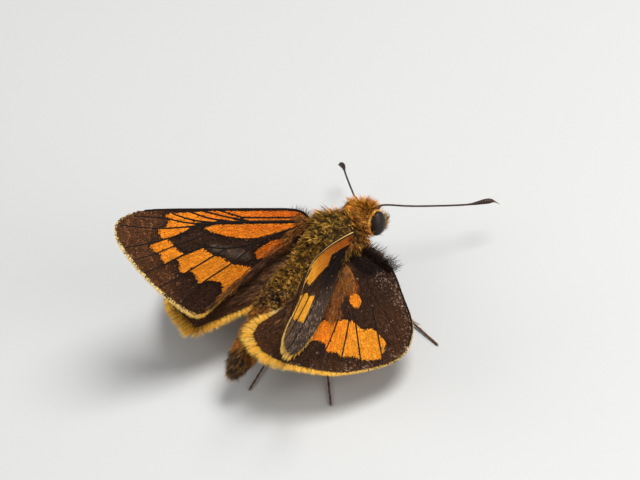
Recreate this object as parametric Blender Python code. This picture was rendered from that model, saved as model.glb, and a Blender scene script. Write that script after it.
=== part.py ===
# A skipper butterfly at life size, resting with its forewings raised and its hindwings spread.
# Every length below is in millimetres in the insect's own frame until it is placed in metres:
# +X is its right side, +Y is ahead, +Z is up, and 0, 0, 0 is midway between the forewing hinges.

import math
import random
import bpy
import bmesh
from mathutils import Matrix, Vector
from mathutils.geometry import delaunay_2d_cdt

MM = 0.001
WELD = 0.0005 * MM
GAP = 0.3
FLOOR = -5.8
BODY_SIDES = 24

# Wing plates, thicker than a real membrane so that they hold as solids
PLATE_HALF = 0.25
RIM_HALF = 0.12
RIM_WIDTH = 0.55
RIM_POINTS = 54
VEIN_HEIGHT = 0.13
VEIN_HALF_WIDTH = 0.28
SUPPORT_STEP = 1.9
SUPPORT_REACH = 20.0
SUPPORT_CLEARANCE = 2.2

# Each wing: hinge on the right side, then sweep back, lift and roll in degrees
FOREWING_HINGE = (2.17, 0.0, 0.0)
HINDWING_HINGE = (2.55, -0.41, -1.33)
WING_POSE = {
    "forewing_right": (70.5, 32.1, -74.6),
    "forewing_left": (66.5, 31.6, -60.3),
    "hindwing_right": (20.5, -11.8, 7.9),
    "hindwing_left": (-1.7, -7.6, -3.3),
}

# How far each wing stands off a flat plane, as terms of a curve: the power of the share along it,
# the power of the share across it, and the height that the term reaches
WING_CURVE = {
    "forewing_right": [(2, 0, -0.45), (0, 2, -6.2), (1, 1, 1.2), (3, 0, -2.25), (1, 2, 4.5), (0, 3, 2.6)],
    "forewing_left": [(2, 0, -0.25), (0, 2, -0.3), (1, 1, 0.6)],
    "hindwing_right": [(2, 0, -0.3)],
    "hindwing_left": [(2, 0, -0.4), (1, 1, -0.3)],
}
CURVE_LENGTH = 16.0
CURVE_WIDTH = 6.5

# Outlines out to the fringe: distance from the hinge along the wing, then across it
FOREWING_OUTLINE = [
    (-0.9, -0.25), (0.7, -0.95), (3.5, -1.15), (8.0, -1.15), (12.5, -1.12), (15.3, -0.65),
    (16.35, 0.45), (15.6, 1.9), (13.9, 3.8), (11.9, 5.6), (10.4, 6.65), (9.3, 6.9), (8.7, 6.55),
    (5.8, 4.4), (2.6, 1.95), (0.2, 0.45), (-0.9, 0.3),
]
HINDWING_FRONT = [
    (-1.0, -0.7), (0.6, -1.25), (2.4, -1.55), (4.6, -0.85), (7.4, 0.0), (9.1, 1.4), (9.75, 3.0),
    (9.45, 4.9), (8.6, 7.2),
]
# The inner margin is folded away beside the abdomen on the right and spread on the left
HINDWING_BACK = {
    "right": [(7.0, 9.6), (5.4, 11.2), (3.5, 11.6), (1.7, 11.0), (1.3, 9.4), (1.0, 7.4), (0.3, 4.6),
              (-0.3, 2.0), (-1.0, 0.6)],
    "left": [(6.9, 9.1), (5.2, 10.4), (3.4, 11.2), (1.4, 11.8), (0.9, 10.8), (0.1, 9.7), (-0.9, 8.4),
             (-1.5, 6.6), (-1.5, 3.8), (-1.1, 1.6)],
}
FOREWING_VEINS = [
    [(-0.4, -0.45), (3.5, -0.85), (8.8, -0.8)],
    [(-0.4, -0.1), (4.8, -0.4), (9.6, -0.2), (12.5, -0.35), (15.4, -0.2)],
    [(9.7, -0.1), (12.4, 0.4), (15.6, 0.8)],
    [(9.8, 0.45), (11.9, 1.1), (15.1, 1.8)],
    [(9.3, 1.1), (11.4, 1.65), (14.3, 2.65)],
    [(-0.4, 0.1), (4.6, 1.35), (7.0, 1.7), (8.6, 1.55), (9.3, 1.1), (9.8, 0.45)],
    [(8.6, 1.55), (11.1, 2.65), (13.4, 3.55)],
    [(7.0, 1.7), (10.3, 3.6), (12.3, 4.6)],
    [(4.6, 1.35), (6.6, 2.8), (10.4, 5.85)],
    [(1.0, 0.55), (5.2, 3.35), (9.2, 6.1)],
]
HINDWING_VEINS = [
    [(-0.5, -0.3), (2.6, -0.7), (7.3, 0.45)],
    [(-0.5, 0.0), (4.3, 1.15), (9.0, 2.0)],
    [(4.3, 1.15), (4.6, 1.8), (9.1, 3.8)],
    [(4.6, 1.8), (4.1, 2.85), (3.6, 3.2), (2.7, 3.0), (-0.4, 0.3)],
    [(4.1, 2.85), (5.2, 3.55), (8.7, 5.45)],
    [(3.6, 3.2), (4.6, 3.85), (8.0, 6.6)],
    [(2.7, 3.0), (4.2, 4.6), (7.0, 8.0)],
    [(-0.3, 0.6), (2.6, 6.0), (4.3, 10.4)],
    [(0.4, 3.2), (1.6, 7.6), (2.4, 10.3)],
]

# Body forms, each a row of sections: place ahead, height, half width, rise above and drop below
THORAX = [
    (-3.1, -1.15, 0.9, 0.85, 0.8), (-2.3, -1.15, 1.45, 1.4, 1.45), (-1.2, -1.15, 1.85, 1.8, 1.9),
    (0.2, -1.15, 1.98, 2.0, 2.0), (1.4, -1.2, 1.75, 1.8, 1.85), (2.3, -1.3, 1.2, 1.15, 1.25),
]
ABDOMEN = [
    (-12.75, -3.1, 0.3, 0.3, 0.3), (-12.1, -2.85, 0.65, 0.6, 0.6), (-11.0, -2.45, 0.92, 0.88, 0.9),
    (-9.2, -1.85, 1.12, 1.1, 1.12), (-7.0, -1.3, 1.22, 1.2, 1.25), (-5.0, -0.98, 1.28, 1.25, 1.3),
    (-3.4, -0.98, 1.2, 1.15, 1.25), (-2.0, -1.1, 0.9, 0.9, 0.9),
]
SEGMENT_LENGTH = 1.3
SEGMENT_GROOVE = 0.05
HEAD_CENTRE = (0.0, 3.4, -1.5)
HEAD_RADII = (1.2, 1.05, 1.2)
HEAD_PITCH = -25.0
EYE_CENTRE = (1.33, 3.4, -1.47)
EYE_RADII = (0.52, 0.7, 0.95)

# Feelers: the route of each, then where the club and its hooked tip begin as shares of its length
ANTENNA_PATH = {
    "right": [(1.04, 4.1, -0.54), (1.44, 4.6, -0.57), (3.02, 5.9, -1.17), (5.64, 8.26, -2.0),
              (6.68, 9.38, -2.21), (7.06, 9.75, -2.3), (7.32, 9.9, -2.45), (7.58, 9.97, -2.64)],
    "left": [(-0.98, 4.07, -0.54), (-1.89, 4.73, -0.95), (-4.86, 7.1, -2.27), (-5.88, 7.96, -2.73),
             (-6.53, 8.5, -3.02), (-6.96, 8.73, -3.2), (-7.58, 8.9, -3.63)],
}
ANTENNA_POINTS = 24
ANTENNA_ROOT = 0.5
ANTENNA_RADIUS = 0.25
CLUB_RADIUS = 0.36
CLUB_START = 0.72
HOOK_START = 0.93
HOOK_TAPER = 0.75

# Palps: place and radius along each
PALP = [(0.45, 3.75, -2.75, 0.28), (0.5, 4.35, -2.95, 0.42), (0.56, 4.8, -2.55, 0.36), (0.6, 5.05, -2.05, 0.12)]
PALP_POINTS = 8

# Long hair: place along the form, first and last angle round it, how many, length, width, lift
LOCK_SIDES = 5
LOCK_STATIONS = (0.0, 0.3, 0.62, 0.86)
LOCK_THICKNESS = 0.45
LOCK_TAPER = 0.78
LOCK_ROOT_DEPTH = 0.35
LOCK_ARCH = 1.9
LOCK_JITTER = 0.12
THORAX_LOCKS = [
    (4.7, 0, 180, 8, 1.1, 0.95, 0.5), (4.1, 12, 168, 8, 1.2, 1.0, 0.42), (3.5, 25, 155, 7, 1.3, 1.0, 0.4),
    (2.8, 28, 152, 7, 1.35, 1.0, 0.38), (2.1, 28, 152, 6, 1.4, 1.0, 0.36), (1.5, 30, 150, 5, 1.35, 0.95, 0.36),
    (0.9, 38, 142, 5, 1.25, 0.9, 0.34),
]
ABDOMEN_LOCKS = [
    (2.1, 20, 335, 9, 0.95, 0.7, 0.18), (1.5, 0, 315, 9, 1.0, 0.7, 0.2), (0.8, 20, 335, 9, 1.0, 0.6, 0.14),
]

# Crest rows on the head: lean from straight ahead, half spread, how many, length, width, lift
CREST_ROWS = [
    (118, 30, 4, 0.75, 0.8, 0.5), (98, 38, 5, 0.7, 0.75, 0.62), (76, 36, 4, 0.65, 0.75, 0.6),
    (54, 32, 5, 0.6, 0.65, 0.45), (30, 26, 4, 0.55, 0.6, 0.3), (8, 20, 3, 0.5, 0.55, 0.22),
]
SEED = 7

# Legs: where each leaves the chest, its knee, its ankle and the tip of its foot
LEGS = {
    "fore_right": ((0.8, 1.5, -2.4), (2.0, 2.3, -3.6), (2.3, 2.2, -5.35), (4.0, 0.6, -5.62)),
    "fore_left": ((-0.8, 1.5, -2.4), (-1.9, 2.9, -3.5), (-2.3, 3.6, -5.35), (-3.2, 5.6, -5.62)),
    "mid_right": ((0.9, -0.3, -2.4), (3.9, -0.3, -3.2), (6.9, -0.85, -5.35), (9.9, -1.75, -5.62)),
    "mid_left": ((-0.9, -0.3, -2.4), (-3.8, -0.2, -3.2), (-6.5, -0.5, -5.35), (-9.4, -1.2, -5.62)),
    "hind_right": ((0.8, -1.7, -2.4), (2.6, -3.9, -3.3), (3.5, -6.9, -5.35), (6.55, -10.2, -5.62)),
    "hind_left": ((-0.8, -1.7, -2.4), (-2.2, -4.2, -3.3), (-0.9, -7.5, -5.35), (0.0, -11.7, -5.62)),
}
FEMUR_RADII = (0.27, 0.38, 0.4, 0.36, 0.28)
FEMUR_BOW = 0.12
TIBIA_RADII = (0.25, 0.27, 0.28, 0.3, 0.26)
TIBIA_BOW = 0.06
TARSUS_RADII = (0.27, 0.26, 0.25)
FOOT_HEIGHT = 0.22
GROUND_SIZE = (40.0, 40.0, 4.0)

COLOURS = {
    "scales_brown": ((0.035, 0.018, 0.012), 0.6),
    "scales_orange": ((0.62, 0.24, 0.04), 0.6),
    "hair_gold": ((0.3, 0.2, 0.05), 0.8),
    "eye_dark": ((0.03, 0.022, 0.02), 0.25),
    "leg_brown": ((0.05, 0.025, 0.015), 0.5),
}


def clear_scene():
    for thing in list(bpy.data.objects):
        bpy.data.objects.remove(thing)


def new_collection(name):
    group = bpy.data.collections.new(name)
    bpy.context.scene.collection.children.link(group)
    return group


def new_material(name):
    colour, roughness = COLOURS[name]
    material = bpy.data.materials.new(name)
    material.use_nodes = True
    shader = material.node_tree.nodes["Principled BSDF"]
    shader.inputs["Base Color"].default_value = (*colour, 1.0)
    shader.inputs["Roughness"].default_value = roughness
    shader.inputs["Metallic"].default_value = 0.0
    return material


def object_from_bmesh(name, bm):
    bmesh.ops.recalc_face_normals(bm, faces=bm.faces)
    mesh = bpy.data.meshes.new(name)
    bm.to_mesh(mesh)
    bm.free()
    thing = bpy.data.objects.new(name, mesh)
    cutters.objects.link(thing)
    thing.hide_render = True
    thing.display_type = "WIRE"
    return thing


# Smooth curves through a few named points

def spline_point(points, place, closed=False):
    count = len(points)
    spans = count if closed else count - 1
    place = min(max(place, 0.0), spans - 1e-9)
    span = int(place)
    t = place - span
    picked = []
    for offset in (-1, 0, 1, 2):
        index = span + offset
        index = index % count if closed else min(max(index, 0), count - 1)
        picked.append(Vector(points[index]))
    before, start, end, after = picked
    return 0.5 * (
        2 * start + (end - before) * t
        + (2 * before - 5 * start + 4 * end - after) * t ** 2
        + (3 * start - before - 3 * end + after) * t ** 3
    )


def smooth_line(points, count, closed=False):
    spans = len(points) if closed else len(points) - 1
    last = count if closed else count - 1
    return [spline_point(points, spans * i / last, closed) for i in range(count)]


# Forms made of rings, and the clearance forms that part one piece from the next

def loft(name, rings, first_pole, last_pole):
    bm = bmesh.new()
    loops = [[bm.verts.new(point * MM) for point in ring] for ring in rings]
    sides = len(loops[0])
    for low, high in zip(loops[:-1], loops[1:]):
        for i in range(sides):
            j = (i + 1) % sides
            bm.faces.new((low[i], low[j], high[j], high[i]))
    for loop, pole in ((loops[0], first_pole), (loops[-1], last_pole)):
        tip = bm.verts.new(pole * MM)
        for i in range(sides):
            bm.faces.new((loop[i], loop[(i + 1) % sides], tip))
    return object_from_bmesh(name, bm)


def body_form(name, sections, rings, grow=0.0, groove=0.0):
    lines = [Vector(section[:3]) for section in sections]
    drops = [Vector((section[3], section[4], 0.0)) for section in sections]
    centres = smooth_line(lines, rings)
    heights = smooth_line(drops, rings)
    made = []
    for centre, height in zip(centres, heights):
        y, z, wide = centre
        ring_depth = 1.0 - groove * (0.5 + 0.5 * math.cos(2 * math.pi * y / SEGMENT_LENGTH)) ** 4
        ring = []
        for i in range(BODY_SIDES):
            turn = 2 * math.pi * i / BODY_SIDES
            tall = height[0] if math.sin(turn) > 0 else height[1]
            x = (wide * ring_depth + grow) * math.cos(turn)
            ring.append(Vector((x, y, z + (tall * ring_depth + grow) * math.sin(turn))))
        made.append(ring)
    reach = 0.35 * sections[0][2] + grow
    first = Vector((0.0, centres[0][0] - reach, centres[0][1]))
    reach = 0.35 * sections[-1][2] + grow
    last = Vector((0.0, centres[-1][0] + reach, centres[-1][1]))
    return loft(name, made, first, last)


def ellipsoid(name, centre, radii, pitch=0.0, grow=0.0, segments=20):
    bm = bmesh.new()
    bmesh.ops.create_uvsphere(bm, u_segments=segments, v_segments=segments * 2 // 3, radius=1.0)
    size = Matrix.Diagonal([(radius + grow) * MM for radius in radii] + [1.0])
    turn = Matrix.Rotation(math.radians(pitch), 4, "X")
    bmesh.ops.transform(bm, matrix=Matrix.Translation(Vector(centre) * MM) @ turn @ size, verts=bm.verts)
    return object_from_bmesh(name, bm)


def tube(name, points, radii, grow=0.0):
    curve = bpy.data.curves.new(name, "CURVE")
    curve.dimensions = "3D"
    curve.bevel_depth = MM
    curve.bevel_resolution = 2
    curve.use_fill_caps = True
    spline = curve.splines.new("POLY")
    points = [Vector(point) for point in points]
    if grow:
        points[0] = points[0] + grow * (points[0] - points[1]).normalized()
        points[-1] = points[-1] + grow * (points[-1] - points[-2]).normalized()
    spline.points.add(len(points) - 1)
    for knot, point, radius in zip(spline.points, points, radii):
        knot.co = (*(point * MM), 1.0)
        knot.radius = radius + grow
    holder = bpy.data.objects.new(name, curve)
    bpy.context.scene.collection.objects.link(holder)
    ready = holder.evaluated_get(bpy.context.evaluated_depsgraph_get())
    mesh = bpy.data.meshes.new_from_object(ready)
    bpy.data.objects.remove(holder)
    bm = bmesh.new()
    bm.from_mesh(mesh)
    bpy.data.meshes.remove(mesh)
    bmesh.ops.remove_doubles(bm, verts=bm.verts, dist=WELD)
    return object_from_bmesh(name, bm)


def keep_largest(bm):
    seen = set()
    groups = []
    for start in bm.faces:
        if start in seen:
            continue
        group = [start]
        seen.add(start)
        for face in group:
            for edge in face.edges:
                for near in edge.link_faces:
                    if near not in seen:
                        seen.add(near)
                        group.append(near)
        groups.append(group)
    groups.sort(key=lambda group: sum(face.calc_area() for face in group))
    scraps = [face for group in groups[:-1] for face in group]
    bmesh.ops.delete(bm, geom=scraps, context="FACES")


def join(piece, operation, tool=None, group=None):
    step = piece.modifiers.new("join", "BOOLEAN")
    step.operation = operation
    step.solver = "EXACT"
    if group:
        step.operand_type = "COLLECTION"
        step.collection = group
    else:
        step.object = tool
    ready = piece.evaluated_get(bpy.context.evaluated_depsgraph_get())
    mesh = bpy.data.meshes.new_from_object(ready)
    piece.modifiers.clear()
    piece.data = mesh
    bm = bmesh.new()
    bm.from_mesh(mesh)
    bmesh.ops.remove_doubles(bm, verts=bm.verts, dist=WELD)
    bmesh.ops.dissolve_degenerate(bm, edges=bm.edges, dist=WELD)
    keep_largest(bm)
    bmesh.ops.triangulate(bm, faces=bm.faces)
    bm.to_mesh(mesh)
    bm.free()


def cut(piece, *tools):
    for tool in tools:
        join(piece, "DIFFERENCE", tool)
    return piece


def finish(piece, name, material, smooth_angle=40.0):
    cutters.objects.unlink(piece)
    insect.objects.link(piece)
    piece.name = name
    piece.data.name = name
    piece.hide_render = False
    piece.display_type = "TEXTURED"
    piece.data.materials.clear()
    piece.data.materials.append(material)
    piece.data.shade_smooth()
    piece.data.set_sharp_from_angle(angle=math.radians(smooth_angle))
    return piece


# Wings

def wing_axes(pose):
    sweep, lift, roll = (math.radians(angle) for angle in pose)
    along = Vector((math.cos(lift) * math.cos(sweep), -math.cos(lift) * math.sin(sweep), math.sin(lift)))
    back = Vector((-math.sin(sweep), -math.cos(sweep), 0.0))
    across = math.cos(roll) * back + math.sin(roll) * back.cross(along)
    return along, across


def moved_in(outline, distance):
    moved = []
    for i, point in enumerate(outline):
        ahead = outline[(i + 1) % len(outline)] - outline[i - 1]
        moved.append(point + Vector((-ahead.y, ahead.x)).normalized() * distance)
    return moved


def distance_to_line(point, line):
    nearest = 1e9
    for start, end in zip(line[:-1], line[1:]):
        run = end - start
        t = min(max((point - start).dot(run) / run.length_squared, 0.0), 1.0)
        nearest = min(nearest, (point - start - run * t).length)
    return nearest


def inside(point, outline):
    crossings = 0
    for start, end in zip(outline, outline[1:] + outline[:1]):
        if (start.y > point.y) != (end.y > point.y):
            if point.x < start.x + (point.y - start.y) * (end.x - start.x) / (end.y - start.y):
                crossings += 1
    return crossings % 2 == 1


def stand_off(curve, u, v):
    along, across = u / CURVE_LENGTH, v / CURVE_WIDTH
    return sum(height * along ** ahead * across ** aside for ahead, aside, height in curve)


def wing(name, hinge, outline_points, vein_points, grow=0.0):
    side = -1.0 if "left" in name else 1.0
    along, across = wing_axes(WING_POSE[name])
    normal = along.cross(across)
    if normal.z < 0:
        normal = -normal
    outline = smooth_line([Vector(point) for point in outline_points], RIM_POINTS, closed=True)
    if grow:
        outline = moved_in(outline, -grow)
    rim = outline + outline[:1]
    veins = [smooth_line([Vector(point) for point in line], 3 + 2 * (len(line) - 1)) for line in vein_points]

    plan = list(outline)
    edges = []

    def keep(point):
        return inside(point, outline) and distance_to_line(point, rim) > 0.35 * RIM_WIDTH

    for line in veins:
        for shift in (-VEIN_HALF_WIDTH, 0.0, VEIN_HALF_WIDTH):
            last = None
            for i, point in enumerate(line):
                ahead = line[min(i + 1, len(line) - 1)] - line[max(i - 1, 0)]
                moved = point + Vector((-ahead.y, ahead.x)).normalized() * shift
                if shift and min(distance_to_line(moved, other) for other in veins) < 0.7 * VEIN_HALF_WIDTH:
                    last = None
                    continue
                if not keep(moved):
                    last = None
                    continue
                plan.append(moved)
                if last is not None:
                    edges.append((last, len(plan) - 1))
                last = len(plan) - 1
    shrunk = moved_in(outline, RIM_WIDTH)[::2]
    columns = int(SUPPORT_REACH / SUPPORT_STEP)
    for i in range(columns):
        for j in range(columns):
            shrunk.append(Vector(((i - 1) * SUPPORT_STEP, (j - 2 + 0.5 * (i % 2)) * SUPPORT_STEP)))
    for point in shrunk:
        if inside(point, outline) and distance_to_line(point, rim) > 0.8 * RIM_WIDTH:
            if min((point - other).length for other in plan) > SUPPORT_CLEARANCE * VEIN_HALF_WIDTH:
                plan.append(point)
    face = list(range(len(outline)))
    flat, _, triangles, _, _, _ = delaunay_2d_cdt(plan, edges, [face], 1, 1e-4)

    bm = bmesh.new()
    upper = []
    lower = []
    for point in flat:
        fullness = min(distance_to_line(point, rim) / RIM_WIDTH, 1.0)
        half = RIM_HALF + (PLATE_HALF - RIM_HALF) * fullness + grow
        nearest = min((distance_to_line(point, line) for line in veins), default=1.0)
        half += VEIN_HEIGHT * max(0.0, 1.0 - nearest / VEIN_HALF_WIDTH) * fullness
        middle = Vector(hinge) + along * point.x + across * point.y
        middle += normal * stand_off(WING_CURVE[name], point.x, point.y)
        for offset, store in ((half, upper), (-half, lower)):
            place = middle + normal * offset
            place.x *= side
            store.append(bm.verts.new(place * MM))
    rim_edges = {}
    for triangle in triangles:
        a, b, c = triangle
        bm.faces.new((upper[a], upper[b], upper[c]))
        bm.faces.new((lower[c], lower[b], lower[a]))
        for start, end in ((a, b), (b, c), (c, a)):
            rim_edges[frozenset((start, end))] = rim_edges.get(frozenset((start, end)), 0) + 1
    for pair, uses in rim_edges.items():
        if uses == 1:
            start, end = tuple(pair)
            bm.faces.new((upper[start], upper[end], lower[end]))
            bm.faces.new((upper[start], lower[end], lower[start]))
    return object_from_bmesh(name, bm)


# Locks of long hair, each flat, tapered and bent along the lie of the coat

def lock(root, normal, lie, length, width, lift):
    lie = (lie - lie.dot(normal) * normal).normalized()
    side = lie.cross(normal).normalized()
    rings = []
    for t in LOCK_STATIONS + (1.0,):
        arch = LOCK_ARCH * t - (LOCK_ARCH - 1.0) * t * t
        centre = root - normal * LOCK_ROOT_DEPTH * (1.0 - t) ** 2 + lie * length * t + normal * lift * arch
        taper = 1.0 - LOCK_TAPER * t ** 2
        ring = []
        for i in range(LOCK_SIDES):
            turn = 2 * math.pi * i / LOCK_SIDES
            ring.append(centre + side * (0.5 * width * taper * math.cos(turn))
                        + normal * (0.5 * LOCK_THICKNESS * taper * math.sin(turn)))
        rings.append(ring)
    tip = sum(rings.pop(), Vector()) / LOCK_SIDES
    return loft("lock", rings, root - normal * (LOCK_ROOT_DEPTH + 0.1), tip)


def form_point(sections, place, turn):
    y, z, wide = spline_point([Vector(section[:3]) for section in sections], place)
    up, down, _ = spline_point([Vector((section[3], section[4], 0.0)) for section in sections], place)
    tall = up if math.sin(turn) > 0 else down
    outward = Vector((math.cos(turn) / wide, 0.0, math.sin(turn) / tall)).normalized()
    return Vector((wide * math.cos(turn), y, z + tall * math.sin(turn))), outward


def rows_of_locks(sections, rows, spread, draw):
    made = []
    for row, (place, first, last, count, length, width, lift) in enumerate(rows):
        for i in range(count):
            share = (i + 0.5 * (row % 2)) / max(count - 1, 1)
            turn = math.radians(first + (last - first) * share) + draw.uniform(-LOCK_JITTER, LOCK_JITTER) / 2
            root, outward = form_point(sections, place + draw.uniform(-LOCK_JITTER, LOCK_JITTER), turn)
            lie = Vector((spread * math.cos(turn) + draw.uniform(-LOCK_JITTER, LOCK_JITTER), -1.0, -0.12))
            size = 1.0 + draw.uniform(-LOCK_JITTER, LOCK_JITTER)
            made.append(lock(root, outward, lie, length * size, width, lift * size))
    return made


def head_locks(draw):
    tilt = Matrix.Rotation(math.radians(HEAD_PITCH), 3, "X")
    made = []
    for lean, spread, count, length, width, lift in CREST_ROWS:
        lean_angle = math.radians(lean)
        for i in range(count):
            across = math.radians(spread) * (2.0 * i / (count - 1) - 1.0)
            toward = Vector((math.sin(across), math.cos(across) * math.cos(lean_angle),
                             math.cos(across) * math.sin(lean_angle)))
            root = Vector(HEAD_CENTRE) + tilt @ Vector([a * b for a, b in zip(toward, HEAD_RADII)])
            outward = (tilt @ Vector([a / b for a, b in zip(toward, HEAD_RADII)])).normalized()
            lie = Vector((0.6 * across + draw.uniform(-LOCK_JITTER, LOCK_JITTER), 0.6, 0.25))
            size = 1.0 + draw.uniform(-LOCK_JITTER, LOCK_JITTER)
            made.append(lock(root, outward, lie, length * size, width, lift * size))
    return made


def fuse(piece, pieces):
    group = bpy.data.collections.new("fused")
    for extra in pieces:
        group.objects.link(extra)
    join(piece, "UNION", group=group)
    for extra in pieces:
        bpy.data.objects.remove(extra)
    bpy.data.collections.remove(group)
    return piece


def antenna(side, grow=0.0):
    points = smooth_line([Vector(point) for point in ANTENNA_PATH[side]], ANTENNA_POINTS)
    lengths = [0.0]
    for start, end in zip(points[:-1], points[1:]):
        lengths.append(lengths[-1] + (end - start).length)
    radii = []
    for length in lengths:
        share = length / lengths[-1]
        swell = math.sin(math.pi * max(share - CLUB_START, 0.0) / (1.0 - CLUB_START))
        thin = 1.0 - HOOK_TAPER * max(share - HOOK_START, 0.0) / (1.0 - HOOK_START)
        radii.append((ANTENNA_RADIUS + (CLUB_RADIUS - ANTENNA_RADIUS) * swell) * thin)
    points.insert(0, points[0] - ANTENNA_ROOT * (points[1] - points[0]).normalized())
    radii.insert(0, ANTENNA_RADIUS)
    return tube("antenna", points, radii, grow)


def build_body(materials):
    thorax = body_form("thorax_form", THORAX, 17)
    thorax_clear = body_form("thorax_clear", THORAX, 17, grow=GAP)
    head = ellipsoid("head_form", HEAD_CENTRE, HEAD_RADII, HEAD_PITCH)
    head_clear = ellipsoid("head_clear", HEAD_CENTRE, HEAD_RADII, HEAD_PITCH, grow=GAP)
    abdomen = body_form("abdomen_form", ABDOMEN, 37, groove=SEGMENT_GROOVE)
    abdomen_clear = body_form("abdomen_clear", ABDOMEN, 17, grow=GAP)
    sockets = []
    for side, mirror in (("right", 1.0), ("left", -1.0)):
        centre = (EYE_CENTRE[0] * mirror, *EYE_CENTRE[1:])
        eye = ellipsoid("eye_form", centre, EYE_RADII, HEAD_PITCH, segments=16)
        sockets.append(ellipsoid("socket", centre, EYE_RADII, HEAD_PITCH, grow=GAP, segments=16))
        finish(eye, "eye_" + side, materials["eye_dark"])
        feeler = cut(antenna(side), head_clear, sockets[-1])
        finish(feeler, "antenna_" + side, materials["leg_brown"])
        route = smooth_line([(x * mirror, y, z) for x, y, z, _ in PALP], PALP_POINTS)
        thickness = smooth_line([(radius, 0.0, 0.0) for *_, radius in PALP], PALP_POINTS)
        palp = cut(tube("palp", route, [place.x for place in thickness]), head_clear, sockets[-1])
        finish(palp, "palp_" + side, materials["hair_gold"])
    draw = random.Random(SEED)
    tail_clear = body_form("tail_clear", ABDOMEN[:-1], 17, grow=GAP)
    fuse(thorax, [cut(tuft, tail_clear, head_clear) for tuft in rows_of_locks(THORAX, THORAX_LOCKS, 0.3, draw)])
    fuse(abdomen, rows_of_locks(ABDOMEN, ABDOMEN_LOCKS, 0.1, draw))
    feelers = [antenna(side, grow=GAP) for side in ("right", "left")]
    fuse(head, [cut(tuft, *feelers) for tuft in head_locks(draw)])
    wings_clear = build_wings(materials, thorax_clear, abdomen_clear)
    cut(thorax, *wings_clear, *sockets)
    cut(head, thorax_clear, *sockets)
    cut(abdomen, thorax_clear, *wings_clear)
    finish(thorax, "thorax", materials["hair_gold"], 60.0)
    finish(head, "head", materials["hair_gold"], 60.0)
    finish(abdomen, "abdomen", materials["scales_brown"], 60.0)
    return thorax_clear


def build_wings(materials, thorax_clear, abdomen_clear):
    clear_forms = []
    for name in WING_POSE:
        kind, side = name.split("_")
        hinge, outline, veins = FOREWING_HINGE, FOREWING_OUTLINE, FOREWING_VEINS
        if kind == "hindwing":
            hinge, outline, veins = HINDWING_HINGE, HINDWING_FRONT + HINDWING_BACK[side], HINDWING_VEINS
        plate = cut(wing(name, hinge, outline, veins), thorax_clear, abdomen_clear)
        finish(plate, name, materials["scales_orange"], 25.0)
        clear_forms.append(wing(name, hinge, outline, [], grow=GAP))
    return clear_forms


def leg_piece(name, start, end, radii, bow=0.0, grow=0.0):
    start, end = Vector(start), Vector(end)
    shares = [i / (len(radii) - 1) for i in range(len(radii))]
    route = [start.lerp(end, share) + Vector((0.0, 0.0, bow * math.sin(math.pi * share))) for share in shares]
    return tube(name, route, radii, grow)


def build_legs(materials, thorax_clear):
    bm = bmesh.new()
    size = Matrix.Diagonal([side * MM for side in GROUND_SIZE] + [1.0])
    below = Matrix.Translation((0.0, 0.0, (FLOOR - GROUND_SIZE[2] / 2) * MM))
    bmesh.ops.create_cube(bm, size=1.0, matrix=below @ size)
    ground = object_from_bmesh("ground_clear", bm)
    for leg, (root, knee, ankle, toe) in LEGS.items():
        femur = cut(leg_piece("femur", root, knee, FEMUR_RADII, FEMUR_BOW), thorax_clear)
        femur_clear = leg_piece("femur_clear", root, knee, FEMUR_RADII, FEMUR_BOW, GAP)
        tibia = cut(leg_piece("tibia", knee, ankle, TIBIA_RADII, TIBIA_BOW), femur_clear)
        tibia_clear = leg_piece("tibia_clear", knee, ankle, TIBIA_RADII, TIBIA_BOW, GAP)
        heel = (ankle[0], ankle[1], FLOOR + FOOT_HEIGHT)
        tarsus = cut(leg_piece("tarsus", heel, toe, TARSUS_RADII), tibia_clear, ground)
        for piece, part in ((femur, "femur"), (tibia, "tibia"), (tarsus, "tarsus")):
            finish(piece, leg + "_" + part, materials["leg_brown"])


def stand_on_origin():
    low = Vector((1e9, 1e9, 1e9))
    high = -low
    for piece in insect.objects:
        for vertex in piece.data.vertices:
            low = Vector(map(min, low, vertex.co))
            high = Vector(map(max, high, vertex.co))
    move = Matrix.Translation((-(low.x + high.x) / 2, -(low.y + high.y) / 2, -low.z))
    for piece in insect.objects:
        piece.data.transform(move)


clear_scene()
insect = new_collection("skipper_butterfly")
cutters = new_collection("clearance_forms")
named_materials = {name: new_material(name) for name in COLOURS}
thorax_room = build_body(named_materials)
build_legs(named_materials, thorax_room)
stand_on_origin()
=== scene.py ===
import math
import bmesh
import bpy
import numpy as np
from mathutils import Matrix, Vector
from mathutils.geometry import delaunay_2d_cdt


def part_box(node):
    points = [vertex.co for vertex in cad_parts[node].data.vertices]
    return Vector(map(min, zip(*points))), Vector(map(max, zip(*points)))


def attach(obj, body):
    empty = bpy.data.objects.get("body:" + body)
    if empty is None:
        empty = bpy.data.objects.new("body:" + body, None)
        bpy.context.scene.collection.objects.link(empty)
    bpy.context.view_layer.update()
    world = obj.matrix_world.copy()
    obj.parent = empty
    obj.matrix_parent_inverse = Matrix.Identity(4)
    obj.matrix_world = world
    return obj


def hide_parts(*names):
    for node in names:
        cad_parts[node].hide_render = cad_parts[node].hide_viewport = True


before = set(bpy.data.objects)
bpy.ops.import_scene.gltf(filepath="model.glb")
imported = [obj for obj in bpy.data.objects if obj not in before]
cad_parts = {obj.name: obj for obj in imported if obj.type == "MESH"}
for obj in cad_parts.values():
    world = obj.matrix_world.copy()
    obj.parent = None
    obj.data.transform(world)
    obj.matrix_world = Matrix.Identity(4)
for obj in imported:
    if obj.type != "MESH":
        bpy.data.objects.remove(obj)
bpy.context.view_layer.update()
print("frame loaded")

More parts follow.
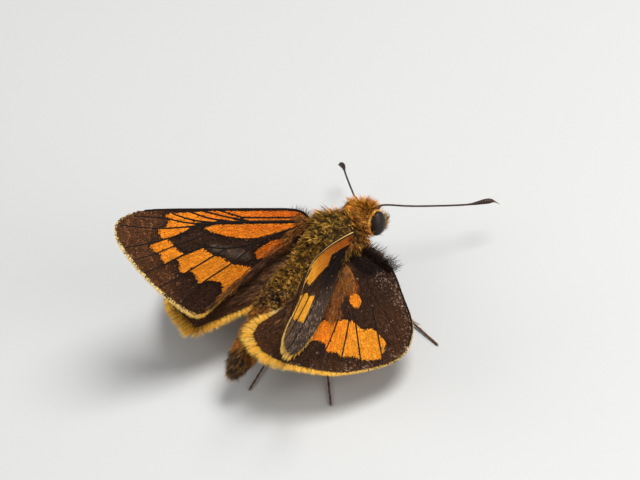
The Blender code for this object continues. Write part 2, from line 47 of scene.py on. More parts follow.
# Everything is modelled in millimetres from the point midway between the forewing hinges, with
# +X to the insect's right, +Y ahead and +Z up, and then placed by the right eye of the frame
mm = 0.001
floorHeight = -5.8
eyes = {"centre": (1.33, 3.4, -1.47), "radii": (0.52, 0.7, 0.95), "pitch": -25.0, "segments": 96}
eyeLow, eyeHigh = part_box("eye_right")
insectOrigin = (eyeLow + eyeHigh) / 2 - Vector(eyes["centre"]) * mm
toWorld = Matrix.Translation(insectOrigin) @ Matrix.Scale(mm, 4)

palette = {
    "brown": (0.034, 0.015, 0.008),
    "black": (0.010, 0.006, 0.0045),
    "umber": (0.090, 0.035, 0.013),
    "bark": (0.14, 0.062, 0.028),
    "orange": (0.73, 0.215, 0.012),
    "amber": (0.73, 0.26, 0.017),
    "red": (0.58, 0.105, 0.007),
    "grey": (0.075, 0.050, 0.036),
    "cream": (0.80, 0.62, 0.30),
    "gold": (0.84, 0.38, 0.040),
    "fringe": (0.93, 0.46, 0.038),
    "yellow": (0.94, 0.42, 0.035),
    "fox": (0.48, 0.17, 0.024),
    "olive": (0.35, 0.19, 0.028),
    "straw": (0.55, 0.34, 0.075),
    "rust": (0.36, 0.10, 0.010),
    "ochre": (0.26, 0.115, 0.030),
    "tan": (0.36, 0.165, 0.060),
    "leg": (0.045, 0.020, 0.012),
    "eye": (0.022, 0.016, 0.013),
}


# Curves and distances in a plane

def smoothLine(points, count, closed=False):
    points = np.array(points, float)
    total = len(points)
    spans = total if closed else total - 1
    place = np.linspace(0.0, spans, count, endpoint=not closed)
    span = np.minimum(place.astype(int), spans - 1)
    t = (place - span)[:, None]

    def pick(offset):
        index = span + offset
        return points[index % total if closed else np.clip(index, 0, total - 1)]

    before, start, end, after = pick(-1), pick(0), pick(1), pick(2)
    return 0.5 * (2 * start + (end - before) * t + (2 * before - 5 * start + 4 * end - after) * t ** 2
                  + (3 * start - before - 3 * end + after) * t ** 3)


def distanceToLine(points, line):
    line = np.asarray(line, float)
    runs = np.diff(line, axis=0)
    offset = points[:, None, :] - line[None, :-1]
    t = np.clip((offset * runs).sum(2) / (runs ** 2).sum(1), 0.0, 1.0)
    return np.linalg.norm(offset - t[..., None] * runs, axis=2).min(1)


def depthInside(points, outline):
    loop = np.vstack([outline, outline[:1]])
    away = distanceToLine(points, loop)
    x, y = points[:, :1], points[:, 1:2]
    x0, y0 = loop[:-1].T
    x1, y1 = loop[1:].T
    crosses = ((y0 > y) != (y1 > y)) & (x < x0 + (y - y0) * (x1 - x0) / (y1 - y0 + 1e-12))
    return np.where(crosses.sum(1) % 2 == 1, away, -away)


def depthInAny(points, outlines):
    return np.max([depthInside(points, outline) for outline in outlines], axis=0)


def rise(value, low, high):
    t = np.clip((value - low) / (high - low), 0.0, 1.0)
    return t * t * (3 - 2 * t)


def unit(vectors):
    return vectors / np.linalg.norm(vectors, axis=-1, keepdims=True)


# Meshes from arrays

def addObject(name, data):
    added = bpy.data.objects.new(name, data)
    bpy.context.scene.collection.objects.link(added)
    return added


def pieceFrom(bm, name):
    mesh = bpy.data.meshes.new(name)
    bm.to_mesh(mesh)
    bm.free()
    return addObject(name, mesh)


def newPiece(name, points, faces, closed=True):
    mesh = bpy.data.meshes.new(name)
    mesh.from_pydata(np.asarray(points).tolist(), [], faces)
    mesh.validate()
    if closed:
        bm = bmesh.new()
        bm.from_mesh(mesh)
        bmesh.ops.recalc_face_normals(bm, faces=bm.faces)
        bm.to_mesh(mesh)
        bm.free()
    return addObject(name, mesh)


def giveAttributes(piece, **fields):
    kinds = {1: ("FLOAT", "value"), 3: ("FLOAT_VECTOR", "vector"), 4: ("FLOAT_COLOR", "color")}
    for name, values in fields.items():
        values = np.asarray(values, np.float32)
        if not values.ndim:
            values = np.full(len(piece.data.vertices), values)
        kind, field = kinds[1 if values.ndim == 1 else values.shape[1]]
        piece.data.attributes.new(name, kind, "POINT").data.foreach_set(field, values.ravel())


def giveColours(piece, **fields):
    count = len(piece.data.vertices)
    giveAttributes(piece, **{name: np.column_stack([np.broadcast_to(shade, (count, 3)), np.ones(count)])
                             for name, shade in fields.items()})


def giveUnwrap(piece, places):
    giveAttributes(piece, unwrap=np.column_stack([places, np.zeros(len(places))]))
    layer = piece.data.uv_layers.new(name="OFBake")
    corners = np.zeros(len(piece.data.loops), np.int32)
    piece.data.loops.foreach_get("vertex_index", corners)
    layer.data.foreach_set("uv", np.asarray(places, np.float32)[corners].ravel())


def settle(piece, material=None, nodes=()):
    piece.data.transform(toWorld)
    if material:
        piece.data.materials.append(material)
    piece.data.shade_smooth()
    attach(piece, "root")
    if nodes:
        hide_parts(*nodes)


def ringFaces(rings, sides):
    faces = []
    for row in range(rings - 1):
        for i in range(sides):
            j = (i + 1) % sides
            faces.append((row * sides + i, row * sides + j, (row + 1) * sides + j, (row + 1) * sides + i))
    return faces


def tubeOf(points, radii, sides=12, flat=1.0, normal=None):
    points = np.asarray(points, float)
    ahead = unit(np.gradient(points, axis=0))
    side = unit(np.cross(ahead[0], (0.0, 0.0, 1.0) if abs(ahead[0][2]) < 0.9 else (1.0, 0.0, 0.0)))
    turns = np.linspace(0, 2 * np.pi, sides, endpoint=False)
    made = []
    for point, way, radius in zip(points, ahead, radii):
        if normal is not None:
            side = np.cross(normal, way)
        side = unit(side - way * side.dot(way))
        up = np.cross(side, way)
        made.append(point + radius * (np.outer(np.cos(turns), side) + flat * np.outer(np.sin(turns), up)))
    last = (len(points) - 1) * sides
    caps = [tuple(range(sides)), tuple(last + i for i in reversed(range(sides)))]
    return np.vstack(made), ringFaces(len(points), sides) + caps


def joined(parts):
    points, faces, start = [], [], 0
    for partPoints, partFaces in parts:
        points.append(partPoints)
        faces += [tuple(index + start for index in face) for face in partFaces]
        start += len(partPoints)
    return np.vstack(points), faces


# Node helpers, for shaders and Geometry Nodes alike

def socketLabel(word):  # sizeSpread becomes Size Spread
    return "".join(" " + letter if letter.isupper() else letter for letter in word).title()


def addNode(tree, kind, sockets=None, **settings):
    node = tree.nodes.new(kind)
    for setting, value in settings.items():
        setattr(node, setting, value)
    for socket, source in (sockets or {}).items():
        if isinstance(source, bpy.types.NodeSocket):
            tree.links.new(source, node.inputs[socket])
        else:
            node.inputs[socket].default_value = source
    return node


def mathNode(tree, operation, *values):
    return addNode(tree, "ShaderNodeMath", dict(enumerate(values)), operation=operation).outputs[0]


def mixColour(tree, factor, first, second, blend="MIX"):
    ready = [(*colour, 1.0) if isinstance(colour, tuple) else colour for colour in (first, second)]
    return addNode(tree, "ShaderNodeMix", {0: factor, 6: ready[0], 7: ready[1]},
                   data_type="RGBA", blend_type=blend).outputs[2]


def mapRange(tree, value, low, high, toLow=0.0, toHigh=1.0):
    return addNode(tree, "ShaderNodeMapRange", {0: value, 1: low, 2: high, 3: toLow, 4: toHigh}).outputs[0]


def readAttribute(tree, name, output="Fac"):
    return addNode(tree, "ShaderNodeAttribute", attribute_name=name).outputs[output]


def ownPlace(tree):
    return addNode(tree, "ShaderNodeTexCoord").outputs["Object"]


def grainOf(tree, scale, detail=3.0):
    return addNode(tree, "ShaderNodeTexNoise", {
        "Vector": ownPlace(tree), "Scale": scale, "Detail": detail}).outputs[0]


def addBump(tree, shader, height, strength, distance, **settings):
    bump = addNode(tree, "ShaderNodeBump", {
        "Strength": strength, "Distance": distance, "Height": height}, **settings)
    tree.links.new(bump.outputs[0], shader.inputs["Normal"])


def newShaderGroup(name, inputs, outputs):
    tree = bpy.data.node_groups.new(name, "ShaderNodeTree")
    for label, kind, value in inputs:
        socket = tree.interface.new_socket(name=label, in_out="INPUT", socket_type="NodeSocket" + kind)
        if value is not None:
            socket.default_value = (*value, 1.0) if kind == "Color" else value
    for label, kind in outputs:
        tree.interface.new_socket(name=label, in_out="OUTPUT", socket_type="NodeSocket" + kind)
    return tree, tree.nodes.new("NodeGroupInput").outputs, tree.nodes.new("NodeGroupOutput")


def newMaterial(name, roughness, specular):
    material = bpy.data.materials.new(name)
    material.use_nodes = True
    shader = material.node_tree.nodes["Principled BSDF"]
    shader.inputs["Roughness"].default_value = roughness
    shader.inputs["Specular IOR Level"].default_value = specular
    return material, material.node_tree, shader


# One coat maker: tufts planted over a surface, along the lie that the surface carries

coatInputs = [
    ("Tufts", "NodeSocketCollection", None), ("Cover", "NodeSocketString", "cover"),
    ("Reach", "NodeSocketString", "reach"), ("Lie", "NodeSocketString", "lie"),
    ("Stand", "NodeSocketString", "stand"), ("Spacing", "NodeSocketFloat", 0.1),
    ("Density", "NodeSocketFloat", 100.0), ("Length", "NodeSocketFloat", 1.0),
    ("Width", "NodeSocketFloat", 1.0), ("Size Spread", "NodeSocketFloat", 0.2),
    ("Tilt", "NodeSocketVector", (0.1, 0.1, 0.1)), ("Seed", "NodeSocketInt", 1),
    ("Material", "NodeSocketMaterial", None),
]
patchSize = 0.003  # each tuft's share of the bake map
tuftKinds = 8  # shapes that a coat draws its tufts from


def buildCoatTree():
    tree = bpy.data.node_groups.new("coatOfTufts", "GeometryNodeTree")
    tree.interface.new_socket(name="Geometry", in_out="INPUT", socket_type="NodeSocketGeometry")
    tree.interface.new_socket(name="Geometry", in_out="OUTPUT", socket_type="NodeSocketGeometry")
    for label, kind, value in coatInputs:
        socket = tree.interface.new_socket(name=label, in_out="INPUT", socket_type=kind)
        if value is not None:
            socket.default_value = value
    given = tree.nodes.new("NodeGroupInput").outputs

    def named(name, kind):
        return addNode(tree, "GeometryNodeInputNamedAttribute", {"Name": name}, data_type=kind).outputs[0]

    def drawn(kind, low, high, seedStep, slot):
        seed = mathNode(tree, "ADD", given["Seed"], float(seedStep))
        return addNode(tree, "FunctionNodeRandomValue", {slot[0]: low, slot[1]: high, "Seed": seed},
                       data_type=kind).outputs[slot[2]]

    floats, vectors, integers = (2, 3, 1), (0, 1, 0), (4, 5, 2)
    points = addNode(tree, "GeometryNodeDistributePointsOnFaces", {
        "Mesh": given["Geometry"], "Distance Min": given["Spacing"], "Density Max": given["Density"],
        "Density Factor": named(given["Cover"], "FLOAT"), "Seed": given["Seed"]}, distribute_method="POISSON")
    toned = addNode(tree, "GeometryNodeStoreNamedAttribute", {
        "Geometry": points.outputs["Points"], "Name": "tone", "Value": drawn("FLOAT", 0.0, 1.0, 11, floats)},
        data_type="FLOAT", domain="POINT")
    facing = addNode(tree, "FunctionNodeAxesToRotation", {
        "Primary Axis": points.outputs["Normal"], "Secondary Axis": named(given["Lie"], "FLOAT_VECTOR")},
        primary_axis="Z", secondary_axis="X")
    lowTilt = addNode(tree, "ShaderNodeVectorMath", {0: given["Tilt"], 3: -1.0}, operation="SCALE").outputs[0]
    standing = addNode(tree, "ShaderNodeCombineXYZ", {
        1: mathNode(tree, "MULTIPLY", named(given["Stand"], "FLOAT"), -1.0)})
    turned = addNode(tree, "ShaderNodeVectorMath", {
        0: drawn("FLOAT_VECTOR", lowTilt, given["Tilt"], 23, vectors), 1: standing.outputs[0]}, operation="ADD")
    spin = addNode(tree, "FunctionNodeEulerToRotation", {0: turned.outputs[0]}).outputs[0]
    rotation = addNode(tree, "FunctionNodeRotateRotation", {0: facing.outputs[0], 1: spin},
                       rotation_space="LOCAL").outputs[0]
    smallest = mathNode(tree, "SUBTRACT", 1.0, given["Size Spread"])
    largest = mathNode(tree, "ADD", 1.0, given["Size Spread"])
    size = drawn("FLOAT", smallest, largest, 37, floats)
    length = mathNode(tree, "MULTIPLY", mathNode(tree, "MULTIPLY", size, given["Length"]),
                      named(given["Reach"], "FLOAT"))
    scale = addNode(tree, "ShaderNodeCombineXYZ", {0: length, 1: given["Width"], 2: length}).outputs[0]
    tufts = addNode(tree, "GeometryNodeCollectionInfo", {
        "Collection": given["Tufts"], "Separate Children": True, "Reset Children": True})
    planted = addNode(tree, "GeometryNodeInstanceOnPoints", {
        "Points": toned.outputs[0], "Instance": tufts.outputs[0], "Pick Instance": True,
        "Instance Index": drawn("INT", 0, tuftKinds - 1, 51, integers), "Rotation": rotation, "Scale": scale})
    real = addNode(tree, "GeometryNodeRealizeInstances", {0: planted.outputs[0]})
    patch = addNode(tree, "ShaderNodeVectorMath", {0: named("patch", "FLOAT_VECTOR"), 3: patchSize},
                    operation="SCALE")
    place = addNode(tree, "ShaderNodeVectorMath", {0: named("unwrap", "FLOAT_VECTOR"), 1: patch.outputs[0]},
                    operation="ADD")
    mapped = addNode(tree, "GeometryNodeStoreNamedAttribute", {
        "Geometry": real.outputs[0], "Name": "OFBake", "Value": place.outputs[0]},
        data_type="FLOAT2", domain="CORNER")
    painted = addNode(tree, "GeometryNodeSetMaterial", {
        "Geometry": mapped.outputs[0], "Material": given["Material"]})
    tree.links.new(painted.outputs[0], tree.nodes.new("NodeGroupOutput").inputs[0])
    return tree


coatTree = buildCoatTree()


def growCoat(name, ground, slot, **values):
    step = ground.modifiers.new("coat", "NODES")
    step.node_group = coatTree
    inputs = {item.name: item.identifier for item in coatTree.interface.items_tree if item.in_out == "INPUT"}
    for word, value in values.items():
        step[inputs[socketLabel(word)]] = value
    mesh = bpy.data.meshes.new_from_object(ground.evaluated_get(bpy.context.evaluated_depsgraph_get()))
    ground.modifiers.remove(step)
    mesh.name = name
    settle(addObject(name, mesh))
    mesh.calc_loop_triangles()
    print(name, len(mesh.loop_triangles), "triangles")


def fieldsOf(group, *kinds):
    return {"cover": group, **{kind.lower(): group + kind for kind in kinds or ("Reach", "Lie", "Stand")}}


# The tufts themselves, one unit long, lying along X and rising towards Z

strands = {"radius": 0.02, "thinning": 0.7, "rings": (0.0, 0.35, 0.7), "corners": 3, "arch": 0.34,
           "droop": 0.16}
scaleForm = {"outline": [(0.0, 0.0), (0.45, 0.42), (0.92, 0.45), (1.0, 0.0), (0.92, -0.45), (0.45, -0.42)],
             "arch": 0.05, "middle": 0.55, "bulges": (0.05, -0.07)}


def tuftCollection(name, makeTuft):
    group = bpy.data.collections.new(name)
    for index in range(tuftKinds):
        points, faces, along = makeTuft(index)
        mesh = bpy.data.meshes.new(f"{name}{index}")
        mesh.from_pydata(points.tolist(), [], faces)
        tuft = bpy.data.objects.new(f"{name}{index}", mesh)
        spread = max(np.abs(points[:, 1]).max(), 1e-6)
        giveAttributes(tuft, along=along, patch=np.column_stack([
            along - 0.5, 0.5 * points[:, 1] / spread, np.zeros(len(points))]))
        group.objects.link(tuft)
    return group


def strandTuft(draw, count, splay, curl):
    rings, corners = strands["rings"], strands["corners"]
    angles = 2 * math.pi * np.arange(corners) / corners + 0.5
    last = (len(rings) - 1) * corners
    parts = []
    for _ in range(count):
        turn = draw.uniform(-splay, splay)
        lift = draw.uniform(0.7, 1.3)
        bend = draw.uniform(-curl, curl)
        size = draw.uniform(0.75, 1.0)
        base = np.array([draw.uniform(-0.05, 0.05), draw.uniform(-0.07, 0.07), -0.02])

        def centreAt(t):
            return base + size * np.array([
                t * math.cos(turn), t * math.sin(turn) + bend * t * t,
                lift * (strands["arch"] * t - strands["droop"] * t * t)])

        points = [centreAt(t) + strands["radius"] * (1.0 - strands["thinning"] * t) * np.array(
            [0.0, math.cos(angle), math.sin(angle)]) for t in rings for angle in angles]
        faces = [tuple(reversed(range(corners)))]
        for a, b, c, d in ringFaces(len(rings), corners):
            faces += [(a, b, c), (a, c, d)]
        faces += [(last + i, last + (i + 1) % corners, last + corners) for i in range(corners)]
        parts.append((np.array(points + [centreAt(1.0)]), faces))
    points, faces = joined(parts)
    return points, faces, np.tile([*np.repeat(rings, corners), 1.0], count)


def scaleTuft(lift):
    middle, rim = scaleForm["middle"], len(scaleForm["outline"])
    points = [(x, y, lift * x - scaleForm["arch"] * (2 * y) ** 2) for x, y in scaleForm["outline"]]
    points += [(middle, 0.0, lift * middle + bulge) for bulge in scaleForm["bulges"]]
    faces = []
    for i in range(rim):
        j = (i + 1) % rim
        faces += [(j, i, rim), (i, j, rim + 1)]
    points = np.array(points)
    return points, faces, points[:, 0]


drawTufts = np.random.default_rng(5)
hairTufts = tuftCollection("hairTuft", lambda index: strandTuft(drawTufts, 3, 0.22, 0.12))
fringeTufts = tuftCollection("fringeTuft", lambda index: strandTuft(drawTufts, 3, 0.12, 0.05))
bristles = tuftCollection("bristle", lambda index: strandTuft(drawTufts, 1, 0.15, 0.1))
wingScales = tuftCollection("wingScale", lambda index: scaleTuft(0.05 + 0.02 * index))
print("coat maker ready")


# Shared finishes

def scatterFrom(tree, tone, spread):
    return addNode(tree, "ShaderNodeTexWhiteNoise", {"W": mathNode(tree, "MULTIPLY", tone, spread)},
                   noise_dimensions="1D").outputs["Value"]


def aroundOne(tree, scatter, amount):
    own = mathNode(tree, "SUBTRACT", scatter, 0.5)
    return mathNode(tree, "MULTIPLY_ADD", own, mathNode(tree, "MULTIPLY", amount, 2.0), 1.0)


def lightened(tree, colour, light):
    grey = addNode(tree, "ShaderNodeCombineColor", {0: light, 1: light, 2: light}).outputs[0]
    return mixColour(tree, 1.0, colour, grey, "MULTIPLY")


def buildScaleColour():
    tree, given, out = newShaderGroup("scaleColour", [
        ("Marks", "Vector", None), ("Plane", "Vector", None), ("Tone", "Float", 0.5),
        ("Ground", "Color", palette["brown"]), ("Mark", "Color", palette["orange"]),
        ("Fleck", "Color", palette["rust"]), ("Jag", "Float", 0.045), ("Ground Spread", "Float", 0.35),
        ("Mark Spread", "Float", 0.06)], [("Color", "Color"), ("Roughness", "Float")])
    marks = addNode(tree, "ShaderNodeSeparateXYZ", {0: given["Marks"]}).outputs
    offset = mathNode(tree, "MULTIPLY", mathNode(tree, "SUBTRACT", given["Tone"], 0.5), given["Jag"])
    inMark = mapRange(tree, mathNode(tree, "ADD", marks[0], offset), -0.015, 0.015)
    offVein = mapRange(tree, marks[1], 0.0, 0.02)
    stretched = addNode(tree, "ShaderNodeMapping", {"Vector": given["Plane"], "Scale": (0.5, 5.0, 1.0)})
    streak = addNode(tree, "ShaderNodeTexNoise", {"Vector": stretched.outputs[0], "Scale": 1.6, "Detail": 3.0})
    shared = mapRange(tree, streak.outputs[0], 0.3, 0.7, -0.26, 0.14)
    scatter = scatterFrom(tree, given["Tone"], 917.0)
    flecked = mathNode(tree, "LESS_THAN", scatterFrom(tree, given["Tone"], 411.0), marks[2])
    lights = [mathNode(tree, "ADD", aroundOne(tree, scatter, given[name]), shared)
              for name in ("Ground Spread", "Mark Spread")]
    ground = lightened(tree, given["Ground"], lights[0])
    mark = lightened(tree, given["Mark"], lights[1])
    ground = mixColour(tree, mathNode(tree, "MULTIPLY", flecked, 0.75), ground, given["Fleck"])
    colour = mixColour(tree, mathNode(tree, "MULTIPLY", inMark, offVein), ground, mark)
    tree.links.new(colour, out.inputs["Color"])
    tree.links.new(mapRange(tree, scatter, 0.0, 1.0, 0.5, 0.75), out.inputs["Roughness"])
    return tree


def buildHairColour():
    tree, given, out = newShaderGroup("hairColour", [
        ("Coat", "Color", palette["gold"]), ("Tone", "Float", 0.5), ("Along", "Float", 0.5),
        ("Dark", "Color", palette["brown"]), ("Pale", "Color", palette["straw"]),
        ("Dark Share", "Float", 0.25), ("Pale Share", "Float", 0.2), ("Root", "Float", 0.5),
        ("Tip", "Float", 0.0), ("Spread", "Float", 0.3), ("Clump", "Float", 0.0)],
        [("Color", "Color"), ("Roughness", "Float")])
    scatter = scatterFrom(tree, given["Tone"], 613.0)
    darkened = mathNode(tree, "LESS_THAN", given["Tone"], given["Dark Share"])
    paled = mathNode(tree, "GREATER_THAN", given["Tone"], mathNode(tree, "SUBTRACT", 1.0, given["Pale Share"]))
    colour = mixColour(tree, mathNode(tree, "MULTIPLY", darkened, 0.85), given["Coat"], given["Dark"])
    colour = mixColour(tree, mathNode(tree, "MULTIPLY", paled, 0.8), colour, given["Pale"])
    tipped = mathNode(tree, "MULTIPLY", mapRange(tree, given["Along"], 0.3, 0.9), given["Tip"])
    colour = mixColour(tree, tipped, colour, given["Pale"])
    # Each strand darkens towards its root: partly the darker bases the hairs have, partly painted shade of the
    # coat around the roots; near the tip it rises a little above its own colour
    rootLight = mapRange(tree, given["Along"], 0.0, 0.8, given["Root"], 1.1)
    light = mathNode(tree, "MULTIPLY", rootLight, aroundOne(tree, scatter, given["Spread"]))
    # Noise patches darken and lighten the hair: painted shade in the gaps between clumps of strands, and
    # painted light on the clumps
    clumpShading = mapRange(tree, grainOf(tree, 3200.0, 2.0), 0.35, 0.65, -1.0, 0.8)
    clumpLight = mathNode(tree, "MULTIPLY_ADD", clumpShading, given["Clump"], 1.0)
    tree.links.new(lightened(tree, colour, mathNode(tree, "MULTIPLY", light, clumpLight)), out.inputs["Color"])
    tree.links.new(mapRange(tree, scatter, 0.0, 1.0, 0.5, 0.75), out.inputs["Roughness"])
    return tree


scaleColour = buildScaleColour()
hairColour = buildHairColour()


def shadeBy(tree, shader, colourGroup, sockets):
    group = addNode(tree, "ShaderNodeGroup", sockets, node_tree=colourGroup)
    tree.links.new(group.outputs["Color"], shader.inputs["Base Color"])
    tree.links.new(group.outputs["Roughness"], shader.inputs["Roughness"])


def scaleMaterial(name, planted):
    material, tree, shader = newMaterial(name, 0.6, 0.07)
    plane = readAttribute(tree, "plane", "Vector")
    if planted:
        tone = readAttribute(tree, "tone")
    else:
        fine = addNode(tree, "ShaderNodeMapping", {"Vector": plane, "Scale": (6.0, 6.0, 1.0)})
        cells = addNode(tree, "ShaderNodeTexVoronoi", {"Vector": fine.outputs[0], "Scale": 1.0}).outputs
        tone = addNode(tree, "ShaderNodeSeparateColor", {0: cells["Color"]}).outputs[0]
        addBump(tree, shader, cells["Distance"], 0.5, 0.00002)
    colours = {name: readAttribute(tree, name.lower(), "Color") for name in ("Ground", "Mark", "Fleck")}
    shadeBy(tree, shader, scaleColour, {
        "Marks": readAttribute(tree, "marks", "Vector"), "Plane": plane, "Tone": tone, **colours})
    return material


def hairMaterial(name, specular=0.2, fixed=None, **values):
    material, tree, shader = newMaterial(name, 0.6, specular)
    sockets = {"Coat": (*fixed, 1.0) if fixed else readAttribute(tree, "coat", "Color"),
               "Tone": readAttribute(tree, "tone"), "Along": readAttribute(tree, "along")}
    for word, value in values.items():
        sockets[socketLabel(word)] = (*value, 1.0) if isinstance(value, tuple) else value
    shadeBy(tree, shader, hairColour, sockets)
    return material


def layered(count, base, *layers):
    shade = np.zeros((count, 3)) + base
    for name, share, *strength in layers:
        share = np.reshape(share, (-1, 1))
        shade = shade * (1 - share) + (strength or [1.0])[0] * np.array(palette[name]) * share
    return shade


print("finishes ready")


# Wings: a hinge, the turn of each, and how far each stands off a flat plane, as terms of a curve:
# the power of the share along it, the power of the share across it, and the height in millimetres

wings = {
    "forewing_right": {
        "kind": "forewing", "hinge": (2.17, 0.0, 0.0), "turn": (70.5, 32.1, -74.6),
        "curve": [(2, 0, -0.45), (0, 2, -6.2), (1, 1, 1.2), (3, 0, -2.25), (1, 2, 4.5), (0, 3, 2.6)],
        "fringe": {"length": 1.5, "fuzz": 0.15, "gold": 0.65, "ragged": 0.5, "density": 330.0}},
    "forewing_left": {
        "kind": "forewing", "hinge": (2.17, 0.0, 0.0), "turn": (66.5, 31.6, -60.3),
        "curve": [(2, 0, -0.25), (0, 2, -0.3), (1, 1, 0.6)]},
    "hindwing_right": {
        "kind": "hindwing", "hinge": (2.55, -0.41, -1.33), "turn": (20.5, -11.8, 7.9), "curve": [(2, 0, -0.3)]},
    "hindwing_left": {
        "kind": "hindwing", "hinge": (2.55, -0.41, -1.33), "turn": (-1.7, -7.6, -3.3),
        "curve": [(2, 0, -0.4), (1, 1, -0.3)]},
}
plainFringe = {"length": 1.0, "fuzz": 0.0, "gold": 0.0, "ragged": 0.16, "density": 1100.0}
curveSpan = (16.0, 6.5)  # the length and width that a curve's shares are taken of
scaleFan = (-2.5, -0.3)  # the point on the wing's plane that its scales point away from
sheet = {"rim": 420, "step": 0.12, "half": 0.022, "pleat": 0.07, "pleatWidth": 0.45, "veinHalf": 0.05,
         "veinLevel": 0.03, "veinSides": 10}

# Membrane edge: along the wing, across it, length of the fringe there, and its colour: cream at 0,
# golden at 1 and brown at -1
forewingEdge = [
    (-0.9, -0.1, 0, 0), (0.0, -0.42, 0, 0), (0.6, -0.84, 0, 0), (1.6, -1.05, 0, 0), (4, -1.08, 0, 0),
    (8, -1.08, 0, 0), (12, -1.06, 0, 0), (13.7, -0.98, 0, 0), (14.9, -0.7, 0.05, 0.1), (15.7, -0.25, 0.12, 0.1),
    (16.02, 0.35, 0.2, 0), (15.8, 1.2, 0.24, 0), (15.15, 2.15, 0.26, 0), (14.05, 3.35, 0.26, 0),
    (12.85, 4.45, 0.26, 0.1), (11.75, 5.3, 0.3, 0.2), (10.75, 5.95, 0.34, 0.4), (9.85, 6.4, 0.36, 0.6),
    (9.2, 6.55, 0.34, 0.8), (8.7, 6.4, 0.28, 0.9), (7.2, 5.3, 0.18, 1), (5.8, 4.35, 0, 1),
    (2.9, 2.15, 0, 1), (0.3, 0.4, 0, 1), (-0.9, 0.2, 0, 0),
]
hindwingFront = [
    (-1.0, -0.5, 0, 0), (0.6, -1.2, 0, 0), (2.2, -1.5, 0.05, 0), (4.6, -0.85, 0.08, 0), (7.3, 0.05, 0.12, 0.2),
    (8.9, 1.4, 0.15, 0.3), (9.5, 2.9, 0.16, 0.4), (9.25, 4.7, 0.22, 0.6), (8.55, 6.6, 0.32, 0.9),
]
hindwingEdge = {
    "right": hindwingFront + [
        (7.7, 7.8, 0.45, 1), (6.45, 9.0, 0.6, 1), (5.0, 10.1, 0.9, 1), (3.5, 10.55, 0.95, 1),
        (2.2, 10.3, 1.0, 1), (1.55, 9.5, 0.75, 1), (1.35, 8.4, 0.45, 1), (1.1, 7.0, 0.12, -1),
        (0.3, 4.4, 0.1, -1), (-0.3, 2.0, 0, 0), (-1.0, 0.5, 0, 0)],
    "left": hindwingFront + [
        (7.5, 8.0, 0.45, 1), (5.9, 9.35, 0.65, 1), (4.4, 9.85, 0.8, 1), (3.1, 10.3, 0.9, 1),
        (2.1, 10.6, 1.0, 1), (1.3, 9.8, 0.9, 1), (0.3, 8.6, 0.8, 1), (-0.6, 7.4, 0.7, 1),
        (-1.1, 6.0, 0.4, 1), (-1.3, 3.8, 0.1, 0.6), (-1.0, 1.6, 0, 0), (-1.0, 0.5, 0, 0)],
}

# Veins: half the width of the dark line that each draws above and below, then its points
forewingVeins = [
    (0.055, 0.0, [(0.4, -0.45), (3.0, -0.46), (5.4, -0.47), (6.2, -0.62), (7.6, -0.98)]),
    (0.09, 0.0, [(-0.4, -0.2), (2.5, -0.16), (6.0, -0.15), (8.0, -0.08), (9.4, 0.06)]),
    (0.06, 0.0, [(5.2, -0.22), (6.9, -0.5), (9.0, -0.95)]),
    (0.06, 0.0, [(6.6, -0.18), (8.4, -0.42), (10.0, -0.88)]),
    (0.055, 0.0, [(8.2, -0.12), (9.9, -0.32), (11.4, -0.74)]),
    (0.05, 0.03, [(9.2, -0.02), (10.6, -0.15), (12.3, -0.47), (14.6, -0.6)]),
    (0.05, 0.03, [(9.4, 0.1), (11.0, 0.24), (13.0, 0.28), (15.7, 0.05)]),
    (0.055, 0.03, [(9.4, 0.12), (10.4, 0.55), (11.6, 0.95), (13.4, 1.35), (15.6, 1.7)]),
    (0.045, 0.03, [(9.2, 0.9), (11.2, 1.5), (12.9, 2.1), (14.9, 2.6)]),
    (0.055, 0.04, [(8.7, 1.65), (9.8, 1.85), (12.2, 2.9), (13.9, 3.5)]),
    (0.055, 0.055, [(7.0, 1.75), (8.1, 2.3), (11.0, 3.8), (12.7, 4.6)]),
    (0.05, 0.04, [(4.6, 1.4), (6.6, 2.85), (9.1, 4.3), (10.9, 5.8)]),
    (0.065, 0.05, [(-0.4, 0.05), (2.0, 0.5), (4.6, 1.4), (7.0, 1.75), (8.7, 1.65)]),
    (0.0, 0.0, [(0.2, 0.4), (4.0, 2.95), (6.6, 4.6), (9.0, 6.2)]),
    (0.0, 0.06, [(0.1, -0.6), (1.6, -0.86), (4.0, -0.88), (8.0, -0.88), (12.0, -0.84)]),
]
hindwingVeins = [
    (0.03, 0.04, [(0.2, -0.3), (2.5, -0.9), (5.0, -0.6), (7.6, 0.3)]),
    (0.03, 0.04, [(0.3, 0.1), (3.4, 0.9), (6.4, 1.3), (9.2, 2.0)]),
    (0.05, 0.04, [(4.6, 1.7), (6.9, 2.7), (8.9, 3.6), (9.3, 3.8)]),
    (0.05, 0.04, [(4.6, 3.1), (5.2, 3.5), (8.2, 5.0), (9.0, 5.45)]),
    (0.05, 0.04, [(4.2, 3.4), (4.7, 3.75), (7.4, 6.1), (8.0, 6.7)]),
    (0.045, 0.04, [(2.9, 3.1), (4.3, 4.5), (5.7, 6.1), (7.0, 7.8)]),
    (0.03, 0.04, [(0.2, 1.0), (2.6, 5.2), (4.6, 9.8)]),
    (0.03, 0.04, [(0.1, 1.5), (1.5, 6.0), (2.3, 9.8)]),
    (0.0, 0.04, [(0.3, 0.1), (3.9, 1.5), (4.6, 1.7), (4.9, 2.5), (4.6, 3.1), (4.2, 3.4), (2.9, 3.1),
                 (0.2, 0.9)]),
]

